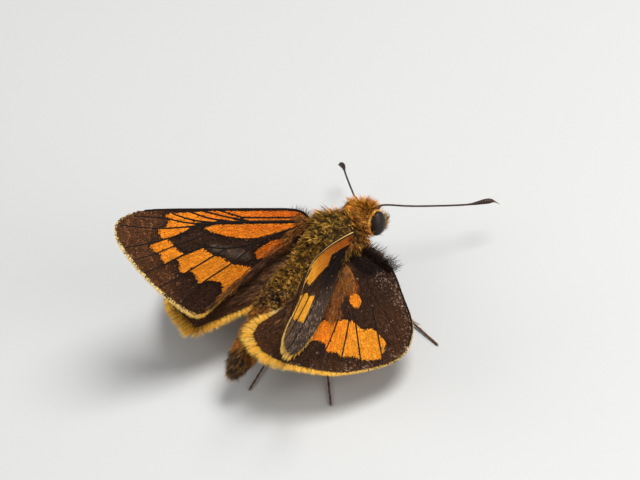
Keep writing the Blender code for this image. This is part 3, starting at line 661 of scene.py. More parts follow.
# Orange marks of the upper and under sides, as outlines on the wing
spotTurns = np.linspace(0.0, 2 * np.pi, 24, endpoint=False)
hindwingSpot = np.column_stack([3.24 + 0.58 * np.cos(spotTurns) - 0.17 * np.sin(spotTurns),
                                2.3 + 0.25 * np.cos(spotTurns) + 0.38 * np.sin(spotTurns)])
hindwingBand = [
    (4.5, 3.8), (4.9, 3.5), (5.9, 3.35), (6.0, 2.9), (6.3, 2.6), (7.1, 2.6), (7.8, 2.55), (8.2, 3.0),
    (8.8, 3.6), (8.75, 4.1), (8.4, 4.5), (8.2, 4.95), (7.6, 5.2), (7.35, 5.7), (7.3, 6.1), (6.7, 6.0),
    (6.4, 6.4), (6.2, 6.7), (5.6, 6.3), (5.1, 6.5), (4.8, 7.0), (4.3, 6.5), (3.8, 5.8), (3.6, 5.3), (4.1, 4.6)]
wingMarks = {
    "forewing": {"veins": forewingVeins, "upper": [
        [(0.1, -0.3), (0.45, -0.82), (1.6, -0.93), (5.0, -0.93), (7.8, -0.92), (9.4, -0.88), (10.6, -0.8),
         (11.6, -0.76), (11.95, -0.58), (11.65, -0.36), (11.75, -0.15), (11.9, 0.15), (12.5, 0.33),
         (12.45, 0.98), (11.8, 1.0), (10.9, 0.68), (10.2, 0.35), (9.8, 0.1), (9.3, -0.1), (8.0, -0.14),
         (6.0, -0.22), (3.0, -0.24), (1.0, -0.26)],
        [(0.3, -0.08), (2.0, -0.02), (5.0, 0.03), (7.9, 0.06), (8.85, 0.28), (8.1, 0.6), (7.0, 0.85),
         (5.6, 1.05), (4.4, 1.0), (3.2, 0.75), (1.8, 0.35), (0.8, 0.1)],
        [(11.85, 1.05), (13.3, 1.5), (12.95, 2.0), (12.5, 2.05), (12.15, 2.85), (10.55, 2.15), (11.3, 1.65)],
        [(8.95, 1.75), (11.1, 2.5), (10.8, 2.95), (10.85, 3.4), (10.5, 3.55), (10.0, 3.4), (9.5, 3.65),
         (9.2, 4.3), (8.6, 4.1), (8.15, 4.1), (7.6, 4.15), (7.2, 4.5), (7.3, 5.05), (7.95, 5.95), (8.6, 6.45),
         (8.3, 6.45), (7.2, 5.55), (6.2, 4.6), (4.9, 3.5), (5.0, 3.1), (6.6, 2.9), (7.2, 2.45), (8.1, 2.3)],
        [(1.8, 1.0), (3.2, 1.25), (4.5, 2.0), (4.4, 2.6), (3.5, 2.4), (2.3, 1.75)]],
        "under": [
        [(0.3, 0.1), (0.5, -0.75), (4.0, -0.85), (10.0, -0.85), (13.0, -0.75), (13.4, 0.2), (12.7, 0.9),
         (11.0, 0.9), (9.6, 0.85), (8.5, 1.45), (7.3, 1.3), (6.2, 1.05), (4.7, 0.85), (4.2, 0.15), (2.4, 0.1)],
        [(8.8, 1.95), (10.0, 1.75), (12.4, 1.1), (13.2, 1.5), (12.9, 2.3), (11.4, 3.3), (10.7, 3.3),
         (10.3, 3.6), (9.6, 3.8), (9.0, 4.1), (8.7, 3.8), (7.8, 3.1), (7.15, 2.6), (7.5, 2.45), (8.35, 2.25)]]},
    "hindwing": {"veins": hindwingVeins, "upper": [hindwingSpot, hindwingBand],
                 "under": [hindwingSpot, hindwingBand]},
}

# Rust-brown ground at the inner part of a hindwing's upper side, as an outline
hindwingWarm = [(0.3, 1.1), (2.0, 1.35), (2.9, 1.9), (2.4, 2.8), (3.9, 4.4), (3.4, 5.0), (1.4, 3.1)]

# Long hair and bristles, on both faces, a coat to each name: the line that each strip grows along, its
# half width, colour, length and stand, how thickly it grows, and its lie where that isn't the line's own
wingDown = {
    "forewing": {"down": [
        ([(-0.4, -0.3), (0.8, -0.35)], 0.6, "fox", 0.55, 0.15, 0.6),
        ([(-0.4, 0.2), (1.6, 1.0)], 0.6, "fox", 0.9, 0.15, 0.8),
        ([(1.2, 1.1), (3.4, 2.3)], 0.45, "rust", 0.9, 0.08, 0.35),
        ([(2.2, 2.0), (5.0, 3.9)], 0.55, "bark", 1.0, 0.08, 1.0),
        ([(4.6, 3.3), (7.4, 5.3)], 0.35, "fox", 0.9, 0.05, 0.6),
        ([(4.8, 3.9), (7.9, 5.9)], 0.4, "bark", 0.95, 0.06, 1.0),
    ], "tuft": [([(0.0, -0.4), (1.3, -0.75)], 0.35, "black", 1.1, 0.9, 0.08, (0.5, -1.0))]},
    "hindwing": {"down": [
        ([(0.3, 1.35), (1.6, 2.1)], 0.6, "fox", 0.9, 0.14, 1.0),
        ([(1.6, 2.7), (3.7, 4.4)], 0.5, "rust", 0.95, 0.06, 1.0),
        ([(0.2, 2.2), (1.6, 5.2), (2.6, 7.6)], 0.9, "bark", 1.0, 0.08, 0.5),
        ([(-0.4, 3.2), (0.4, 6.4)], 0.9, "bark", 1.1, 0.12, 0.8),
    ], "tuft": [
        ([(-0.3, -0.9), (1.9, -1.4)], 0.65, "black", 1.0, 0.6, 1.0, (0.35, -1.0)),
        ([(-0.3, 0.2), (1.2, -0.1)], 0.6, "black", 0.5, 0.2, 1.0),
    ]},
}


def wingFrame(wing):
    sweep, lift, roll = (math.radians(angle) for angle in wing["turn"])
    along = np.array([math.cos(lift) * math.cos(sweep), -math.cos(lift) * math.sin(sweep), math.sin(lift)])
    back = np.array([-math.sin(sweep), -math.cos(sweep), 0.0])
    across = math.cos(roll) * back + math.sin(roll) * np.cross(back, along)
    normal = np.cross(along, across)
    return np.array([along, across, normal if normal[2] > 0 else -normal])


def wingTurned(name, vectors):
    turned = vectors @ wingFrame(wings[name])[:vectors.shape[1]]
    return turned * (-1, 1, 1) if "left" in name else turned


def wingSurface(name, plan, offset=0.0):
    wing = wings[name]
    u, v = plan.T
    stand = offset + sum(height * (u / curveSpan[0]) ** p * (v / curveSpan[1]) ** q
                         for p, q, height in wing["curve"])
    hinge = np.array(wing["hinge"]) * ((-1, 1, 1) if "left" in name else 1)
    return hinge + wingTurned(name, np.column_stack([u, v, stand]))


# Each gives the colours of ground, marks and flecks, and the share of flecks. The depth is measured
# in from the edge
def forewingColours(plan, depth, inMark, upper):
    u, v = plan.T
    count = len(plan)
    if upper:
        stigma = distanceToLine(plan, [(5.2, 2.3), (8.1, 1.75)])
        basal = rise(depthInside(plan, wingMarks["forewing"]["upper"][4]), -0.3, 0.1)
        ground = layered(count, palette["brown"], ("umber", 0.8 * rise(u + 0.1 * v, 10.8, 12.8)),
                         ("grey", rise(-stigma, -0.5, -0.15)), ("umber", 0.8 * rise(-u, -2.5, -0.8)),
                         ("black", 0.6 * rise(inMark, -0.55, -0.05)))
        front = (0.5 * rise(-v, 0.2, 0.5) * rise(-u, -10.5, -7.5)
                 + 0.35 * rise(-u, -6.5, -3.0) * rise(-v, -1.1, -0.3))
        cellEdge = 0.85 * rise(-np.abs(v - 0.27), -0.18, -0.05) * rise(u, 1.0, 2.0) * rise(-u, -7.0, -5.0)
        cell = 0.3 * rise(-np.abs(v - 0.45), -0.7, -0.5) * rise(-u, -9.0, -7.5)
        mark = layered(count, palette["orange"], ("red", np.max([front, 0.9 * basal, cellEdge, cell], axis=0)),
                       ("rust", 0.45 * basal, 1.2), ("amber", 0.4 * rise(v, 1.2, 2.4) * rise(u, 5.0, 7.0)))
        fleck = (0.21, 0.08, 0.03)
        share = 0.01 + 0.11 * rise(u + 0.4 * v, 11.5, 14.0)
    else:
        # The grey towards the inner edge, and the bright grey flecks there, are partly the grey scales of the
        # overlapped strip and partly a painted sheen
        ground = layered(count, palette["black"], ("umber", 0.5 * rise(u, 4.0, 8.0)),
                         ("grey", rise(v - 0.12 * u, 1.2, 3.0), 0.8),
                         ("ochre", 0.35 * rise(u + 0.3 * v, 11.5, 14.5)))
        mark = layered(count, palette["amber"], ("yellow", rise(u, 7.0, 7.8), 0.84),
                       ("red", 0.6 * rise(-u, -6.5, -3.0) + 0.4 * rise(-v, 0.2, 0.7) * rise(-u, -9.0, -7.0)),
                       ("rust", 0.72 * rise(-u, -8.0, -3.5)))
        fleck = layered(count, 0.6 * np.array(palette["straw"]), ("grey", rise(v, 1.6, 2.6), 3.6))
        share = 0.01 + 0.3 * rise(u + 0.2 * v, 11.5, 14.5) + 0.15 * rise(v, 1.8, 3.5) * rise(u, 4.0, 8.0)
    return ground, mark, fleck, share


def hindwingColours(plan, depth, inMark, upper):
    u, v = plan.T
    count = len(plan)
    if upper:
        warm = rise(depthInside(plan, hindwingWarm), -0.2, 0.2)
        ground = layered(count, palette["brown"], ("umber", 0.35 * rise(u - 0.35 * v, 3.0, 6.0)),
                         ("umber", 0.6 * rise(v - 2.2 * u, -1.5, 1.5)),
                         ("black", 0.9 * rise(-u, -2.6, -1.2) * rise(-v, -1.2, -0.2)), ("rust", 0.55 * warm),
                         ("black", 0.45 * rise(inMark, -0.55, -0.05) * rise(u, 4.0, 5.0)))
        mark = layered(count, palette["orange"], ("amber", rise(u - 0.75 * v, 1.0, 3.2)),
                       ("red", 0.35 * rise(v - 0.75 * u, 1.0, 2.6)))
        # Pale pinkish flecks, thickest along the front edge and the outer margin: painted glints of the scales
        fleck = (0.25, 0.16, 0.11)
        share = (0.005 + 0.04 * rise(u - 0.35 * v, 4.5, 7.5) + 0.22 * rise(-v, -0.5, 0.6) * rise(u, 1.5, 2.6)
                 + 0.12 * rise(-depth, -0.6, -0.1) * rise(u, 3.0, 5.0))
    else:
        ground = layered(count, palette["ochre"], ("brown", 0.7 * rise(-u, -1.6, -0.4)))
        mark = layered(count, palette["amber"], ("straw", 0.3))
        fleck = palette["straw"]
        share = 0.25 + 0.15 * rise(v, 2.0, 6.0)
    return ground, mark, fleck, share


def wingLie(plan):
    return unit(plan - scaleFan)


def layDown(zones, plan):
    cover, reach, stand = np.zeros((3, len(plan)))
    lie, coat = wingLie(plan), np.ones((len(plan), 3))
    for line, width, colour, length, raised, thickness, *ownLie in zones:
        near = rise(-distanceToLine(plan, line), -width, -0.4 * width) * thickness
        chosen = near > cover
        cover[chosen] = near[chosen]
        reach[chosen] = length
        stand[chosen] = raised
        lie[chosen] = unit(np.array(ownLie[0]) if ownLie else np.subtract(line[-1], line[0]))
        coat[chosen] = palette[colour]
    return cover, reach, stand, lie, coat


def latticeIn(outline, step):
    low, high = outline.min(0), outline.max(0)
    rows = np.arange(low[1], high[1], step * 0.866)
    columns = np.arange(low[0], high[0], step)
    grid = np.array([(x + 0.5 * step * (row % 2), y) for row, y in enumerate(rows) for x in columns])
    keep = np.concatenate([depthInside(part, outline) > 0.6 * step for part in np.array_split(grid, 12)])
    return grid[keep]


def reliefOf(toVein, depth):
    return sheet["pleat"] * (np.exp(-(toVein / sheet["pleatWidth"]) ** 2) - 0.5) * rise(depth, 0.0, 0.5)


# Places on the bake map, the upper face in its lower half
def unwrapOf(plan):
    return (plan + (2.0, 3.0)) / 20.0 * (0.9, 0.49)


def buildSheet(name):
    kind = wings[name]["kind"]
    edge = forewingEdge if kind == "forewing" else hindwingEdge[name.split("_")[1]]
    rim = smoothLine(edge, sheet["rim"], closed=True)
    outline = rim[:, :2]
    plan = np.vstack([outline, latticeIn(outline, sheet["step"])])
    loop = [list(range(len(rim)))]
    flat, _, triangles, *_ = delaunay_2d_cdt([Vector(point) for point in plan], [], loop, 1, 1e-5)
    plan = np.array([tuple(point) for point in flat])
    veins = [(*halves, distanceToLine(plan, smoothLine(points, 8 * len(points))))
             for *halves, points in wingMarks[kind]["veins"]]
    toVein = np.min([away for _, _, away in veins], axis=0)
    toDark = [np.min([away - halves[face] for *halves, away in veins if halves[face]], axis=0)
              for face in (0, 1)]
    depth = np.abs(distanceToLine(plan, np.vstack([outline, outline[:1]])))
    relief = reliefOf(toVein, depth)
    half = sheet["half"] * (0.25 + 0.75 * rise(depth, 0.0, 0.25))
    count = len(plan)
    faces = []
    uses = {}
    for a, b, c in triangles:
        faces += [(a, b, c), (count + c, count + b, count + a)]
        for pair in ((a, b), (b, c), (c, a)):
            key = (min(pair), max(pair))
            uses[key] = None if key in uses else pair
    faces += [(b, a, count + a, count + b) for a, b in filter(None, uses.values())]
    points = np.vstack([wingSurface(name, plan, relief + half), wingSurface(name, plan, relief - half)])
    membrane = newPiece(name + "_membrane", points, faces)
    coloursOf = forewingColours if kind == "forewing" else hindwingColours
    looks = []
    for dark, label in zip(toDark, ("upper", "under")):
        inMark = depthInAny(plan, wingMarks[kind][label])
        *shades, share = coloursOf(plan, depth, inMark, label == "upper")
        marks = np.column_stack([np.clip(inMark, -1, 1), np.clip(dark, -1, 1), share])
        looks.append([marks, *(np.zeros((count, 3)) + shade for shade in shades)])
    marks, ground, mark, fleck = (np.vstack(pair) for pair in zip(*looks))
    fromRoot = plan - scaleFan
    around = 8.0 * np.arctan2(fromRoot[:, 1], fromRoot[:, 0])
    plane = [np.column_stack([np.linalg.norm(fromRoot, axis=1), around, np.full(count, level)])
             for level in (0.0, 30.0)]
    giveAttributes(
        membrane, marks=marks, plane=np.vstack(plane), lie=np.tile(wingTurned(name, wingLie(plan)), (2, 1)),
        cover=rise(np.concatenate(toDark), 0.0, 0.035), reach=1.0, stand=0.0)
    giveColours(membrane, ground=ground, mark=mark, fleck=fleck)
    for group, zones in wingDown[kind].items():
        cover, reach, stand, lie, coat = layDown(zones, plan)
        giveAttributes(membrane, **{
            group: np.append(cover, cover * rise(-plan[:, 0], -1.3, -0.5)), group + "Reach": np.tile(reach, 2),
            group + "Stand": np.tile(stand, 2), group + "Lie": np.tile(wingTurned(name, lie), (2, 1))})
        if group == "down":
            giveColours(membrane, coat=np.tile(coat, (2, 1)))
    giveUnwrap(membrane, np.vstack([unwrapOf(plan), unwrapOf(plan) + (0.02, 0.5)]))
    return membrane, rim


# Each vein is a low tube let into the upper face, and another into the under face
def buildVeins(name, rim):
    kind = wings[name]["kind"]
    outline, sides = rim[:, :2], sheet["veinSides"]
    normal = wingTurned(name, np.array([(0.0, 0.0, 1.0)]))[0]
    edge = np.vstack([outline, outline[:1]])
    front = forewingEdge[1:8] if kind == "forewing" else hindwingFront[:6]
    costa = smoothLine([point[:2] for point in front], 90)
    parts, colours = [], []

    def addVein(line, half, level, colour, taper=0.75):
        relief = reliefOf(np.zeros(len(line)), distanceToLine(line, edge)) + level * sheet["veinLevel"]
        radii = half * np.linspace(1.15, taper, len(line))
        parts.append(tubeOf(wingSurface(name, line, relief), radii, sides, sheet["veinHalf"] / half, normal))
        colours.append(np.tile(palette[colour], (sides * len(line), 1)))

    for *halves, points in wingMarks[kind]["veins"]:
        line = smoothLine(points, 14 * len(points))
        line = line[depthInside(line, outline) > 0.06]
        for half, level in zip(halves, (1, -1)):
            if half:
                addVein(line, half, level, "black")
    addVein(costa, 0.085, 0.6, "black")
    if kind == "forewing":
        addVein(costa[(costa[:, 0] > 1.3) & (costa[:, 0] < 9.2)], 0.042, -1.3, "straw", 0.15)
    veins = newPiece(name + "_veins", *joined(parts))
    giveColours(veins, coat=np.vstack(colours))
    return veins


def veinMaterial():
    material, tree, shader = newMaterial("wingVeins", 0.65, 0.1)
    light = mapRange(tree, grainOf(tree, 16000.0, 2.0), 0.3, 0.7, 0.6, 1.3)
    tree.links.new(lightened(tree, readAttribute(tree, "coat", "Color"), light), shader.inputs["Base Color"])
    return material


# The fringe grows from a narrow strip along the wing's edge, which is taken away afterwards
def buildFringe(name, rim, fringe):
    outline, count = rim[:, :2], len(rim)
    ahead = unit(np.roll(outline, -1, 0) - np.roll(outline, 1, 0))
    out = np.column_stack([ahead[:, 1], -ahead[:, 0]])
    if depthInside(outline[:1] + 0.1 * out[:1], outline)[0] > 0:
        out = -out
    points = np.vstack([wingSurface(name, outline - 0.07 * out), wingSurface(name, outline + 0.02 * out)])
    faces = [(i, (i + 1) % count, count + (i + 1) % count, count + i) for i in range(count)]
    ribbon = newPiece(name + "_ribbon", points, faces, closed=False)
    fuzz = fringe["fuzz"] * rise(outline[:, 0], 7.5, 10.0) * rise(-outline[:, 1], -0.1, 0.7)
    reach = np.maximum(rim[:, 2] * fringe["length"], fuzz)
    coat = layered(count, palette["cream"], ("fringe", np.clip(rim[:, 3], 0, 1)),
                   ("brown", np.clip(-rim[:, 3], 0, 1), 2.0), ("gold", fringe["gold"], 0.75),
                   ("ochre", rise(fuzz, 0.0, 0.1) * rise(-outline[:, 0], -16.0, -13.5)))
    giveAttributes(ribbon, lie=np.tile(wingTurned(name, out), (2, 1)), reach=np.tile(reach, 2),
                   cover=np.tile(rise(reach, 0.01, 0.06), 2), stand=-0.12)
    giveColours(ribbon, coat=np.tile(coat, (2, 1)))
    giveUnwrap(ribbon, np.tile(unwrapOf(outline), (2, 1)))
    return ribbon


membraneFinish = scaleMaterial("wingMembrane", planted=False)
scaleFinish = scaleMaterial("wingScaleCoat", planted=True)
veinFinish = veinMaterial()
downFinish = hairMaterial("wingDown", dark=palette["brown"], pale=palette["tan"], darkShare=0.36,
                          paleShare=0.26, spread=0.5, root=0.6)
tuftFinish = hairMaterial("wingTuft", fixed=(0.016, 0.009, 0.006), darkShare=0.0, pale=palette["umber"],
                          paleShare=0.15)
fringeFinish = hairMaterial("fringeHair", dark=palette["ochre"], pale=(0.97, 0.68, 0.14), darkShare=0.1,
                            paleShare=0.2, root=0.65, tip=0.5, spread=0.45)
wingCoats = {
    "scales": {"slot": "scales_orange", "tufts": wingScales, "spacing": 0.085, "density": 150.0, "length": 0.2,
               "width": 0.115, "sizeSpread": 0.15, "tilt": (0.03, 0.04, 0.08), "seed": 0,
               "material": scaleFinish},
    "down": {"slot": "scales_orange", "tufts": hairTufts, **fieldsOf("down"), "spacing": 0.05, "density": 200.0,
             "length": 1.0, "width": 0.6, "sizeSpread": 0.35, "tilt": (0.25, 0.16, 0.25), "seed": 60,
             "material": downFinish},
    "tuft": {"slot": "scales_brown", "tufts": bristles, **fieldsOf("tuft"), "spacing": 0.03, "density": 330.0,
             "length": 1.05, "width": 0.65, "sizeSpread": 0.45, "tilt": (0.35, 0.35, 0.5), "seed": 80,
             "material": tuftFinish},
}
for wingIndex, (wingName, wing) in enumerate(wings.items()):
    membrane, rim = buildSheet(wingName)
    for coatName, coat in wingCoats.items():
        growCoat(f"{wingName}_{coatName}", membrane, **{**coat, "seed": coat["seed"] + wingIndex})
    fringe = {**plainFringe, **wing.get("fringe", {})}
    ribbon = buildFringe(wingName, rim, fringe)
    growCoat(wingName + "_fringe", ribbon, "scales_orange", tufts=fringeTufts, spacing=0.01,
             density=fringe["density"], length=1.0, width=0.75, sizeSpread=0.35,
             tilt=(0.3, 0.15, fringe["ragged"]), seed=wingIndex + 20, material=fringeFinish)
    bpy.data.objects.remove(ribbon)
    settle(buildVeins(wingName, rim), veinFinish)
    settle(membrane, membraneFinish, (wingName,))
    print(wingName, "made")


# Body skin: place ahead, height, half width, rise above and drop below
bodySections = [
    (-12.75, -3.1, 0.3, 0.3, 0.3), (-12.1, -2.85, 0.65, 0.6, 0.6), (-11.0, -2.45, 0.92, 0.88, 0.9),
    (-9.2, -1.85, 1.12, 1.1, 1.12), (-7.0, -1.3, 1.22, 1.2, 1.25), (-5.0, -0.98, 1.28, 1.25, 1.3),
    (-3.6, -1.0, 1.22, 1.2, 1.3), (-2.9, -1.1, 1.3, 1.2, 1.35), (-2.2, -1.15, 1.5, 1.45, 1.5),
    (-1.2, -1.15, 1.85, 1.8, 1.9), (0.2, -1.15, 1.98, 2.0, 2.0), (1.4, -1.2, 1.7, 1.75, 1.8),
    (2.1, -1.3, 1.2, 1.2, 1.25), (2.5, -1.38, 0.88, 0.85, 0.9), (2.9, -1.45, 1.05, 1.05, 1.05),
    (3.4, -1.5, 1.2, 1.2, 1.2), (3.95, -1.52, 1.05, 1.05, 1.1), (4.3, -1.55, 0.65, 0.65, 0.7),
]
body = {"rings": 300, "sides": 84, "segment": 1.3, "groove": 0.06}


def bodyShade(y, turn):
    top, sideways, count = np.sin(turn), np.abs(np.cos(turn)), len(y)
    thorax = layered(count, palette["olive"], ("straw", 0.2 * rise(sideways, 0.5, 0.95), 1.2),
                     ("gold", 0.6 * rise(-y, 0.6, 2.0), 0.6),
                     ("fox", 0.85 * rise(sideways, 0.45, 0.8) * rise(y, -0.4, 0.4)),
                     ("rust", 0.7 * rise(-top, -0.1, 0.4)), ("cream", rise(-top, 0.6, 0.9), 0.55))
    hindBand = rise(np.cos(2 * np.pi * y / body["segment"]), 0.6, 0.95)
    abdomen = layered(count, 0.75 * np.array(palette["umber"]), ("rust", 0.35 * rise(-y, 6.5, 8.5)),
                      ("rust", rise(sideways - top * 0.4, 0.25, 0.7), 1.4),
                      ("straw", rise(-top, 0.3, 0.8), 0.8),
                      ("cream", 0.4 * hindBand * rise(sideways, 0.2, 0.6), 0.7),
                      ("fox", 0.85 * rise(-y, 7.6, 9.0), 1.3), ("black", 0.95 * rise(-y, 10.8, 11.6), 1.6))
    head = layered(count, 0.78 * np.array(palette["gold"]), ("rust", 0.7 * rise(y, 3.7, 4.1)),
                   ("cream", rise(-top, 0.2, 0.7), 0.7))
    thoraxShare, headShare = rise(y, -7.2, -5.4)[:, None], rise(y, 2.3, 2.8)[:, None]
    shade = abdomen * (1 - thoraxShare) + thorax * thoraxShare
    shade = layered(count, shade, ("rust", rise(y, 1.0, 1.9), 1.35))
    return shade * (1 - headShare) + head * headShare


def buildSkin():
    rings, sides = body["rings"], body["sides"]
    rows = smoothLine(bodySections, rings)
    turns = np.linspace(0, 2 * np.pi, sides, endpoint=False)
    y, z, wide, up, down = (rows[:, i:i + 1] for i in range(5))
    narrowing = (0.5 + 0.5 * np.cos(2 * np.pi * y / body["segment"])) ** 6
    ring = 1.0 - body["groove"] * narrowing * rise(-y, 3.0, 4.0)
    tall = np.where(np.sin(turns) > 0, up, down)
    points = np.stack([wide * ring * np.cos(turns), np.broadcast_to(y, tall.shape),
                       z + tall * ring * np.sin(turns)], axis=2).reshape(-1, 3)
    tail, face, last = len(points), len(points) + 1, (rings - 1) * sides
    points = np.vstack([points, (0.0, rows[0, 0] - 0.1, rows[0, 1]), (0.0, rows[-1, 0] + 0.12, rows[-1, 1])])
    faces = ringFaces(rings, sides) + [((i + 1) % sides, i, tail) for i in range(sides)]
    faces += [(last + i, last + (i + 1) % sides, face) for i in range(sides)]
    skin = newPiece("body_skin", points, faces)
    turn = np.append(np.tile(turns, rings), (0.0, 0.0))
    ahead, top, sideways = points[:, 1], np.sin(turn), np.cos(turn)
    eyeGap = np.linalg.norm((np.abs(points[:, :1]) * (1, 0, 0) + points * (0, 1, 1) - np.array(eyes["centre"]))
                            / np.array(eyes["radii"]), axis=1)
    clear = rise(eyeGap, 1.12, 1.25)
    head, abdomen = rise(ahead, 2.35, 2.75), rise(-ahead, 5.0, 6.5)
    front, cheek = rise(ahead, 3.6, 4.1), rise(-top, 0.1, 0.5)
    rear = rise(-ahead, 1.0, 1.6) * rise(ahead, -3.4, -2.4)
    furred = clear * (1 - rise(-ahead, 7.6, 9.0)) * (1 - head * rise(top, 0.0, 0.4))
    onChest = rise(ahead, -3.6, -2.8)
    reach = 0.42 + 0.35 * rear + 0.2 * rise(ahead, 1.0, 2.0)
    shoulder = rise(ahead, 0.0, 0.4) * rise(-ahead, -1.8, -1.3) * rise(np.abs(sideways), 0.45, 0.65)
    giveAttributes(
        skin, cover=furred * onChest, hindCover=furred * (1 - onChest),
        reach=reach * (1 - 0.35 * rise(-top, 0.0, 0.5)) * (1 - 0.5 * head) + 0.25 * head * cheek,
        stand=0.3 + 0.3 * rise(ahead, 1.0, 2.0) - 0.15 * abdomen,
        lie=unit(np.column_stack([0.35 * sideways + 0.6 * rear, 0.3 * rear - 1.0, -0.2 * np.abs(sideways)])),
        shoulder=shoulder * rise(top, -0.8, -0.5), shoulderReach=1.0 + 0.1 * rise(top, 0.0, 0.5),
        shoulderStand=0.4 + 0.15 * rise(top, 0.0, 0.5),
        shoulderLie=unit(np.column_stack([0.25 * np.sign(sideways), np.full(len(points), -1.0), 0.15 * top])),
        crest=clear * head * rise(top, 0.0, 0.3),
        crestReach=0.42 + 0.48 * rise(top, 0.4, 0.85) * (1 - 0.5 * front),
        crestStand=0.45 + 0.5 * rise(top, 0.3, 0.8) * (1 - 0.4 * front),
        crestLie=unit(np.column_stack([0.5 * sideways, 1.3 * front - 0.5, 0.1 + 0.2 * front])),
        tail=rise(-ahead, 7.4, 9.0), tailReach=0.5 + 0.25 * rise(-ahead, 10.4, 11.3),
        tailStand=0.1 - 0.1 * rise(-ahead, 11.6, 12.6), scaled=abdomen, ones=1.0, flat=0.0)
    giveColours(skin, coat=bodyShade(ahead, turn))
    giveUnwrap(skin, np.column_stack([0.05 + 0.9 * turn / (2 * np.pi), 0.05 + 0.9 * (ahead + 13.0) / 18.0]))
    return skin


def skinMaterial():
    material, tree, shader = newMaterial("bodySkin", 0.7, 0.15)
    grain = grainOf(tree, 14000.0)
    coat = readAttribute(tree, "coat", "Color")
    dark, light = (mixColour(tree, 1.0, coat, tint, "MULTIPLY")
                   for tint in ((0.08, 0.07, 0.07), (0.28, 0.24, 0.22)))
    tree.links.new(mixColour(tree, mapRange(tree, grain, 0.35, 0.7), dark, light), shader.inputs["Base Color"])
    addBump(tree, shader, grain, 0.6, 0.00003)
    return material


bodyHair = hairMaterial("bodyHair", dark=palette["black"], pale=(0.80, 0.43, 0.065), darkShare=0.34,
                        paleShare=0.32, root=0.15, spread=0.6, clump=0.7)
tailHair = hairMaterial("tailHair", dark=palette["black"], pale=(0.80, 0.42, 0.12), darkShare=0.3,
                        paleShare=0.13, root=0.45, spread=0.5, tip=0.08)
crestHair = hairMaterial("crestHair", dark=palette["rust"], pale=palette["gold"], darkShare=0.35,
                         paleShare=0.25, root=0.4, spread=0.5, clump=0.25)
# The scattered cream scales on the abdomen are painted glints of the dark scales
abdomenScale = hairMaterial("abdomenScales", specular=0.35, dark=palette["black"], pale=palette["cream"],
                            darkShare=0.4, paleShare=0.035, root=0.5, spread=0.5)
fur = {"tufts": hairTufts, "spacing": 0.06, "density": 62.0, "length": 1.15, "width": 1.5, "sizeSpread": 0.45,
       "tilt": (0.7, 0.4, 1.6), "seed": 3, "material": bodyHair}
bodyCoats = {
    "chest_fur": {"slot": "hair_gold", "cover": "cover", **fur},
    "abdomen_fur": {"slot": "scales_brown", "cover": "hindCover", **fur},
    "shoulder_tufts": {"slot": "hair_gold", "tufts": hairTufts, **fieldsOf("shoulder"), "spacing": 0.05,
                       "density": 110.0, "length": 1.0, "width": 1.0, "sizeSpread": 0.35,
                       "tilt": (0.3, 0.2, 0.35), "seed": 7, "material": bodyHair},
    "tail_hair": {"slot": "hair_gold", "tufts": hairTufts, **fieldsOf("tail", "Reach", "Stand"),
                  "spacing": 0.05, "density": 110.0, "length": 1.0, "width": 1.1, "sizeSpread": 0.4,
                  "tilt": (0.4, 0.2, 0.4), "seed": 9, "material": tailHair},
    "head_crest": {"slot": "hair_gold", "tufts": hairTufts, **fieldsOf("crest"), "spacing": 0.045,
                   "density": 190.0, "length": 1.0, "width": 0.8, "sizeSpread": 0.3, "tilt": (0.4, 0.25, 0.4),
                   "seed": 4, "material": crestHair},
    "abdomen_scales": {"slot": "scales_brown", "tufts": wingScales, "cover": "scaled", "reach": "ones",
                       "stand": "flat", "spacing": 0.08, "density": 150.0, "length": 0.28, "width": 0.14,
                       "sizeSpread": 0.25, "tilt": (0.25, 0.2, 0.25), "seed": 6, "material": abdomenScale},
}
skin = buildSkin()
for coatName, coat in bodyCoats.items():
    growCoat(coatName, skin, **coat)
settle(skin, skinMaterial(), ("thorax", "abdomen", "head"))
print("body made")


# Eyes: dark, smooth domes with fine facets

def eyeMaterial():
    material, tree, shader = newMaterial("eyeDome", 0.42, 0.17)
    facets = addNode(tree, "ShaderNodeTexVoronoi", {"Vector": ownPlace(tree), "Scale": 30000.0})
    colour = mixColour(tree, grainOf(tree, 1500.0, 2.0), palette["black"], palette["eye"])
    tree.links.new(colour, shader.inputs["Base Color"])
    addBump(tree, shader, facets.outputs["Distance"], 0.15, 0.00001, invert=True)
    return material


def buildEye(name, side):
    bm = bmesh.new()
    bmesh.ops.create_uvsphere(bm, u_segments=eyes["segments"], v_segments=eyes["segments"] // 2, radius=1.0)
    x, y, z = eyes["centre"]
    pitch = Matrix.Rotation(math.radians(eyes["pitch"]), 4, "X")
    size = Matrix.Diagonal((*eyes["radii"], 1.0))
    bmesh.ops.transform(bm, matrix=Matrix.Translation((x * side, y, z)) @ pitch @ size, verts=bm.verts)
    return pieceFrom(bm, name)


# A pale ring of scales where each eye meets the head, open at the front below
eyeRing = {"share": 0.93, "inset": 0.2, "radius": 0.05, "from": -25.0, "to": 255.0, "points": 120, "sides": 12,
           "colour": (0.95, 0.50, 0.075)}


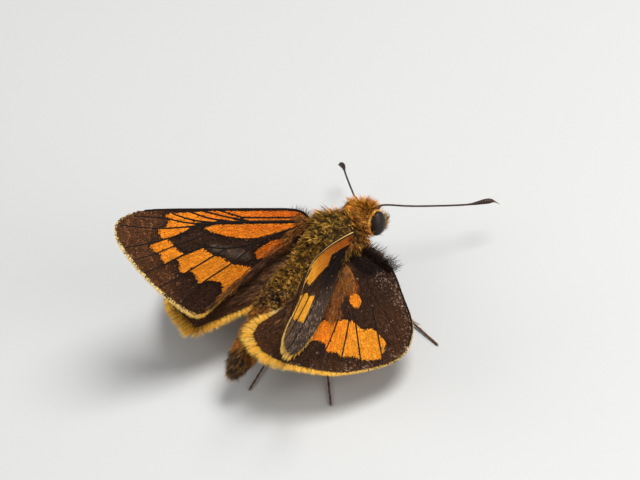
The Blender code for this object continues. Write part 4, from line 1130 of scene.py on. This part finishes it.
def buildEyeRing(name, side):
    count, sides = eyeRing["points"], eyeRing["sides"]
    turns = np.radians(np.linspace(eyeRing["from"], eyeRing["to"], count))
    pitch = np.array(Matrix.Rotation(math.radians(eyes["pitch"]), 3, "X"))
    flat = np.column_stack([
        np.full(count, -eyeRing["inset"]), eyeRing["share"] * eyes["radii"][1] * np.cos(turns),
        eyeRing["share"] * eyes["radii"][2] * np.sin(turns)]) @ pitch.T
    line = (np.array(eyes["centre"]) + flat) * (side, 1, 1)
    share = np.linspace(0, 1, count)
    radii = eyeRing["radius"] * (0.3 + 0.7 * rise(share, 0.0, 0.1) * rise(-share, -1.0, -0.9))
    ring = newPiece(name, *tubeOf(line, radii, sides))
    out = unit(np.repeat(flat * (side, 1, 1) * (0.0, 1.0, 1.0), sides, axis=0))
    giveAttributes(ring, lie=out, cover=1.0, reach=1.0, stand=0.2)
    giveColours(ring, coat=eyeRing["colour"])
    giveUnwrap(ring, np.column_stack([
        np.repeat(0.05 + 0.9 * share, sides), np.tile(np.linspace(0.1, 0.9, sides), count)]))
    return ring


eyeFinish = eyeMaterial()
ringFinish = skinMaterial()
rimHair = hairMaterial("eyeRimHair", dark=palette["rust"], darkShare=0.1, pale=(0.95, 0.68, 0.25),
                       paleShare=0.3, root=0.9)
for sideName, side in (("right", 1), ("left", -1)):
    settle(buildEye("eye_dome_" + sideName, side), eyeFinish, ("eye_" + sideName,))
    ring = buildEyeRing("eye_ring_" + sideName, side)
    growCoat("eye_rim_" + sideName, ring, "hair_gold", tufts=wingScales, spacing=0.03, density=900.0,
             length=0.14, width=0.06, sizeSpread=0.3, tilt=(0.3, 0.4, 0.4), seed=5, material=rimHair)
    settle(ring, ringFinish)
print("eyes made")


# Antennae: the route of each from the head, then where the club and its hooked tip begin
antennae = {
    "right": [(1.04, 4.1, -0.54), (1.44, 4.6, -0.57), (3.02, 5.9, -1.17), (5.64, 8.26, -2.0),
              (6.68, 9.38, -2.21), (7.06, 9.75, -2.3), (7.32, 9.9, -2.45), (7.58, 9.97, -2.64)],
    "left": [(-0.98, 4.07, -0.54), (-1.89, 4.73, -0.95), (-4.86, 7.1, -2.27), (-5.88, 7.96, -2.73),
             (-6.53, 8.5, -3.02), (-6.96, 8.73, -3.2), (-7.58, 8.9, -3.63)],
    "radius": 0.068, "club": 0.2, "clubStart": 0.72, "hookStart": 0.93, "joints": 46, "root": 0.4,
    "points": 240, "sides": 14,
}


def antennaRadius(t):
    swell = rise(t, antennae["clubStart"], 0.9) * (1 - rise(t, antennae["hookStart"] - 0.03, 0.965))
    ringed = 1.0 + 0.05 * np.cos(2 * np.pi * antennae["joints"] * t)
    thin = 1.0 - 0.75 * rise(t, antennae["hookStart"], 1.0)
    return (antennae["radius"] * ringed + (antennae["club"] - antennae["radius"]) * swell) * thin


def buildAntenna(name, route):
    line = smoothLine(route, 400)
    lengths = np.append(0.0, np.cumsum(np.linalg.norm(np.diff(line, axis=0), axis=1)))
    t = np.linspace(0, 1, antennae["points"])
    points = np.column_stack([np.interp(t * lengths[-1], lengths, line[:, i]) for i in range(3)])
    points = np.vstack([points[0] - antennae["root"] * unit(points[4] - points[0]), points])
    radii = np.append(0.12, antennaRadius(t) * (1 + 0.9 * rise(-t, -0.045, -0.01)))
    piece = newPiece(name, *tubeOf(points, radii, antennae["sides"]))
    giveAttributes(piece, along=np.repeat(np.append(0.0, t), antennae["sides"]))
    return piece


def antennaMaterial():
    material, tree, shader = newMaterial("antennaShell", 0.5, 0.25)
    along = readAttribute(tree, "along")
    wave = mathNode(tree, "SINE", mathNode(tree, "MULTIPLY", along, 2 * math.pi * antennae["joints"]))
    banded = mixColour(tree, mapRange(tree, wave, 0.2, 0.9), palette["black"], (0.07, 0.028, 0.014))
    colour = mixColour(tree, mapRange(tree, along, 0.93, 0.97), banded, (0.13, 0.055, 0.025))
    tree.links.new(colour, shader.inputs["Base Color"])
    return material


antennaFinish = antennaMaterial()
for sideName in ("right", "left"):
    settle(buildAntenna("feeler_" + sideName, antennae[sideName]), antennaFinish,
           ("antenna_" + sideName,))
print("antennae made")


# Palps: upturned and shaggy, with a thin bare tip
palps = {"path": [(0.42, 3.6, -2.5), (0.45, 3.95, -2.75), (0.5, 4.4, -2.8), (0.55, 4.75, -2.5),
                  (0.58, 4.9, -2.15)],
         "radii": [0.22, 0.3, 0.33, 0.28, 0.12], "points": 30, "sides": 20}


def buildPalp(name, side):
    count, sides = palps["points"], palps["sides"]
    path = smoothLine(palps["path"], count) * (side, 1, 1)
    radii = smoothLine([(radius, 0) for radius in palps["radii"]], count)[:, 0]
    palp = newPiece(name, *tubeOf(path, radii, sides))
    giveAttributes(palp, lie=np.repeat(unit(np.gradient(path, axis=0)), sides, axis=0), cover=1.0, reach=0.5,
                   stand=0.25)
    giveColours(palp, coat=palette["ochre"])
    giveUnwrap(palp, np.column_stack([
        np.tile(np.linspace(0.1, 0.9, sides), count), np.repeat(np.linspace(0.1, 0.9, count), sides)]))
    return palp


palpSkin = skinMaterial()
for sideName, side in (("right", 1), ("left", -1)):
    palp = buildPalp("palp_core_" + sideName, side)
    growCoat("palp_fur_" + sideName, palp, "hair_gold", tufts=hairTufts, spacing=0.05, density=70.0, length=1.0,
             width=0.8, sizeSpread=0.3, tilt=(0.3, 0.2, 0.3), seed=8, material=bodyHair)
    settle(palp, palpSkin, ("palp_" + sideName,))
print("palps made")


# Legs: root, knee, ankle and toe, then the tip of the foot on the floor
legs = {
    "fore_right": ((0.8, 1.5, -2.4), (2.0, 2.3, -3.6), (2.3, 2.2, -5.55), (4.0, 0.6, -5.7)),
    "fore_left": ((-0.8, 1.5, -2.4), (-1.9, 2.9, -3.5), (-2.3, 3.6, -5.55), (-3.2, 5.6, -5.7)),
    "mid_right": ((0.9, -0.3, -2.4), (3.9, -0.3, -3.2), (6.9, -0.85, -5.55), (9.9, -1.75, -5.7)),
    "mid_left": ((-0.9, -0.3, -2.4), (-3.8, -0.2, -3.2), (-6.5, -0.5, -5.55), (-9.4, -1.2, -5.7)),
    "hind_right": ((0.8, -1.7, -2.4), (2.6, -3.9, -3.3), (3.5, -6.9, -5.55), (6.55, -10.2, -5.7)),
    "hind_left": ((-0.8, -1.7, -2.4), (-2.2, -4.2, -3.3), (-0.9, -7.5, -5.55), (0.0, -11.7, -5.7)),
}
legForm = {"femur": 0.2, "tibia": 0.13, "tarsus": 0.085, "spur": 0.8, "claw": 0.16, "rings": 14,
           "femurSides": 14, "tibiaSides": 12, "joints": (0.0, 0.42, 0.6, 0.75, 0.88, 1.0),
           "spurs": {"fore": (), "mid": (0.97,), "hind": (0.6, 0.97)}}


def buildLeg(name, places):
    root, knee, ankle, toe = (np.array(place) for place in places)
    t = np.linspace(0, 1, legForm["rings"])
    femur = root + np.outer(t, knee - root) + np.outer(0.12 * np.sin(np.pi * t), (0, 0, 1))
    femurRadii = legForm["femur"] * (0.75 + 0.45 * np.sin(np.pi * (0.15 + 0.75 * t)))
    tibiaRadii = legForm["tibia"] * (0.8 + 0.35 * t - 0.2 * rise(t, 0.93, 1.0))
    parts = [tubeOf(femur, femurRadii, legForm["femurSides"]),
             tubeOf(knee + np.outer(t, ankle - knee), tibiaRadii, legForm["tibiaSides"])]
    way = unit(ankle - knee)
    for share in legForm["spurs"][name.split("_")[0]]:
        start = knee + share * (ankle - knee)
        for turn in (-1, 1):
            away = unit(np.cross(way, (0, 0, 1))) * turn
            end = start + legForm["spur"] * unit(way + 0.45 * away)
            end[2] = max(end[2], floorHeight + 0.04)
            line = start + np.outer(np.linspace(0, 1, 6), end - start)
            parts.append(tubeOf(line, np.linspace(0.05, 0.012, 6), 8))
    for first, last in zip(legForm["joints"], legForm["joints"][1:]):
        line = ankle + np.outer(np.linspace(first + 0.004, last, 7), toe - ankle)
        line[:, 2] = np.maximum(line[:, 2], floorHeight + legForm["tarsus"])
        swell = 0.8 + 0.3 * np.linspace(0, 1, 7) - 0.25 * (np.arange(7) % 6 == 0)
        parts.append(tubeOf(line, legForm["tarsus"] * swell, 10))
    onward = unit((toe - ankle) * (1, 1, 0))
    s = np.linspace(0, 1, 6)[:, None]
    for turn in (-1, 1):
        away = np.cross(onward, (0, 0, 1)) * turn
        line = toe + s * legForm["claw"] * onward + 0.06 * s * away - (0, 0, 0.06) * s ** 2
        line[:, 2] = np.maximum(line[:, 2], floorHeight + 0.02)
        parts.append(tubeOf(line, np.linspace(0.03, 0.01, 6), 6))
    verts, faces = joined(parts)
    leg = newPiece("leg_" + name, verts, faces)
    count, femurEnd = len(verts), legForm["rings"] * legForm["femurSides"]
    index = np.arange(count)
    lie = np.where((index < femurEnd)[:, None], unit(knee - root), way)
    lie = np.where((index > femurEnd + legForm["rings"] * legForm["tibiaSides"])[:, None], onward, lie)
    offFloor = rise(verts[:, 2] - floorHeight, 0.1, 0.16)
    giveAttributes(leg, lie=lie, cover=offFloor * np.where(index < femurEnd, 1.0, 0.5),
                   reach=np.where(index < femurEnd, 1.0, 0.55), stand=0.2)
    giveUnwrap(leg, np.column_stack([0.1 + 0.8 * (index % 14) / 14, 0.1 + 0.8 * index / count]))
    return leg


def legMaterial():
    material, tree, shader = newMaterial("legShell", 0.5, 0.4)
    grain = grainOf(tree, 9000.0)
    colour = mixColour(tree, mapRange(tree, grain, 0.35, 0.7), palette["leg"], (0.16, 0.07, 0.03))
    tree.links.new(colour, shader.inputs["Base Color"])
    addBump(tree, shader, grain, 0.5, 0.00002)
    return material


legFinish = legMaterial()
legHair = hairMaterial("legHair", fixed=(0.12, 0.05, 0.02), darkShare=0.45, paleShare=0.1)
for legIndex, (legName, places) in enumerate(legs.items()):
    leg = buildLeg(legName, places)
    growCoat("hair_" + legName, leg, "leg_brown", tufts=bristles, spacing=0.03, density=60.0, length=0.35,
             width=0.8, sizeSpread=0.3, tilt=(0.2, 0.2, 0.3), seed=legIndex + 40, material=legHair)
    settle(leg, legFinish, [f"{legName}_{part}" for part in ("femur", "tibia", "tarsus")])
print("legs made")


# Floor, light and camera
photoView = {
    "right": (0.7583, 0.614, -0.219), "up": (-0.2942, 0.6222, 0.7255), "distance": 300.0,
    "pixelsPerMm": 13.64, "originPixel": (331.22, 232.29), "imageSize": (640, 480), "sensor": 36.0,
}


def buildFloor():
    bm = bmesh.new()
    bmesh.ops.create_grid(bm, x_segments=1, y_segments=1, size=1.2)
    floor = pieceFrom(bm, "floor")
    material, _, shader = newMaterial("paleFloor", 0.85, 0.2)
    shader.inputs["Base Color"].default_value = (0.50, 0.50, 0.49, 1.0)
    floor.data.materials.append(material)


def addLamp(name, place, size, power):
    lamp = bpy.data.lights.new(name, "AREA")
    lamp.shape = "DISK"
    lamp.size = size
    lamp.energy = power
    holder = addObject(name, lamp)
    holder.location = place
    holder.rotation_mode = "QUATERNION"
    holder.rotation_quaternion = (-Vector(place)).to_track_quat("-Z", "Y")


def buildCamera():
    right, up = Vector(photoView["right"]), Vector(photoView["up"])
    toward = right.cross(up).normalized()
    scale = photoView["pixelsPerMm"]
    width, height = photoView["imageSize"]
    acrossShift = (width / 2 - photoView["originPixel"][0]) / scale
    upShift = (photoView["originPixel"][1] - height / 2) / scale
    camera = bpy.data.cameras.new("photoCamera")
    camera.sensor_width = photoView["sensor"]
    camera.lens = scale * photoView["distance"] / width * photoView["sensor"]
    camera.clip_start = 0.01
    turn = Matrix((right, toward.cross(right), toward)).transposed()
    place = toWorld @ (acrossShift * right + upShift * up + photoView["distance"] * toward)
    holder = addObject("photoCamera", camera)
    holder.matrix_world = Matrix.Translation(place) @ turn.to_4x4()
    bpy.context.scene.camera = holder


def lightRoom(colour, strength):
    world = bpy.data.worlds.new("studio")
    bpy.context.scene.world = world
    world.use_nodes = True
    background = world.node_tree.nodes["Background"].inputs
    background[0].default_value = (*colour, 1.0)
    background[1].default_value = strength


lamps = {"keyLamp": ((0.10, 0.08, 0.28), 0.16, 1.1), "fillLamp": ((-0.20, -0.18, 0.22), 0.25, 0.35),
         "lowLamp": ((0.28, 0.0, 0.12), 0.2, 0.53)}  # place, width and power of each
buildFloor()
for lampName, lamp in lamps.items():
    addLamp(lampName, *lamp)
lightRoom((0.93, 0.95, 0.97), 0.33)
bpy.context.scene.view_settings.view_transform = "Standard"
buildCamera()
print("stage set")
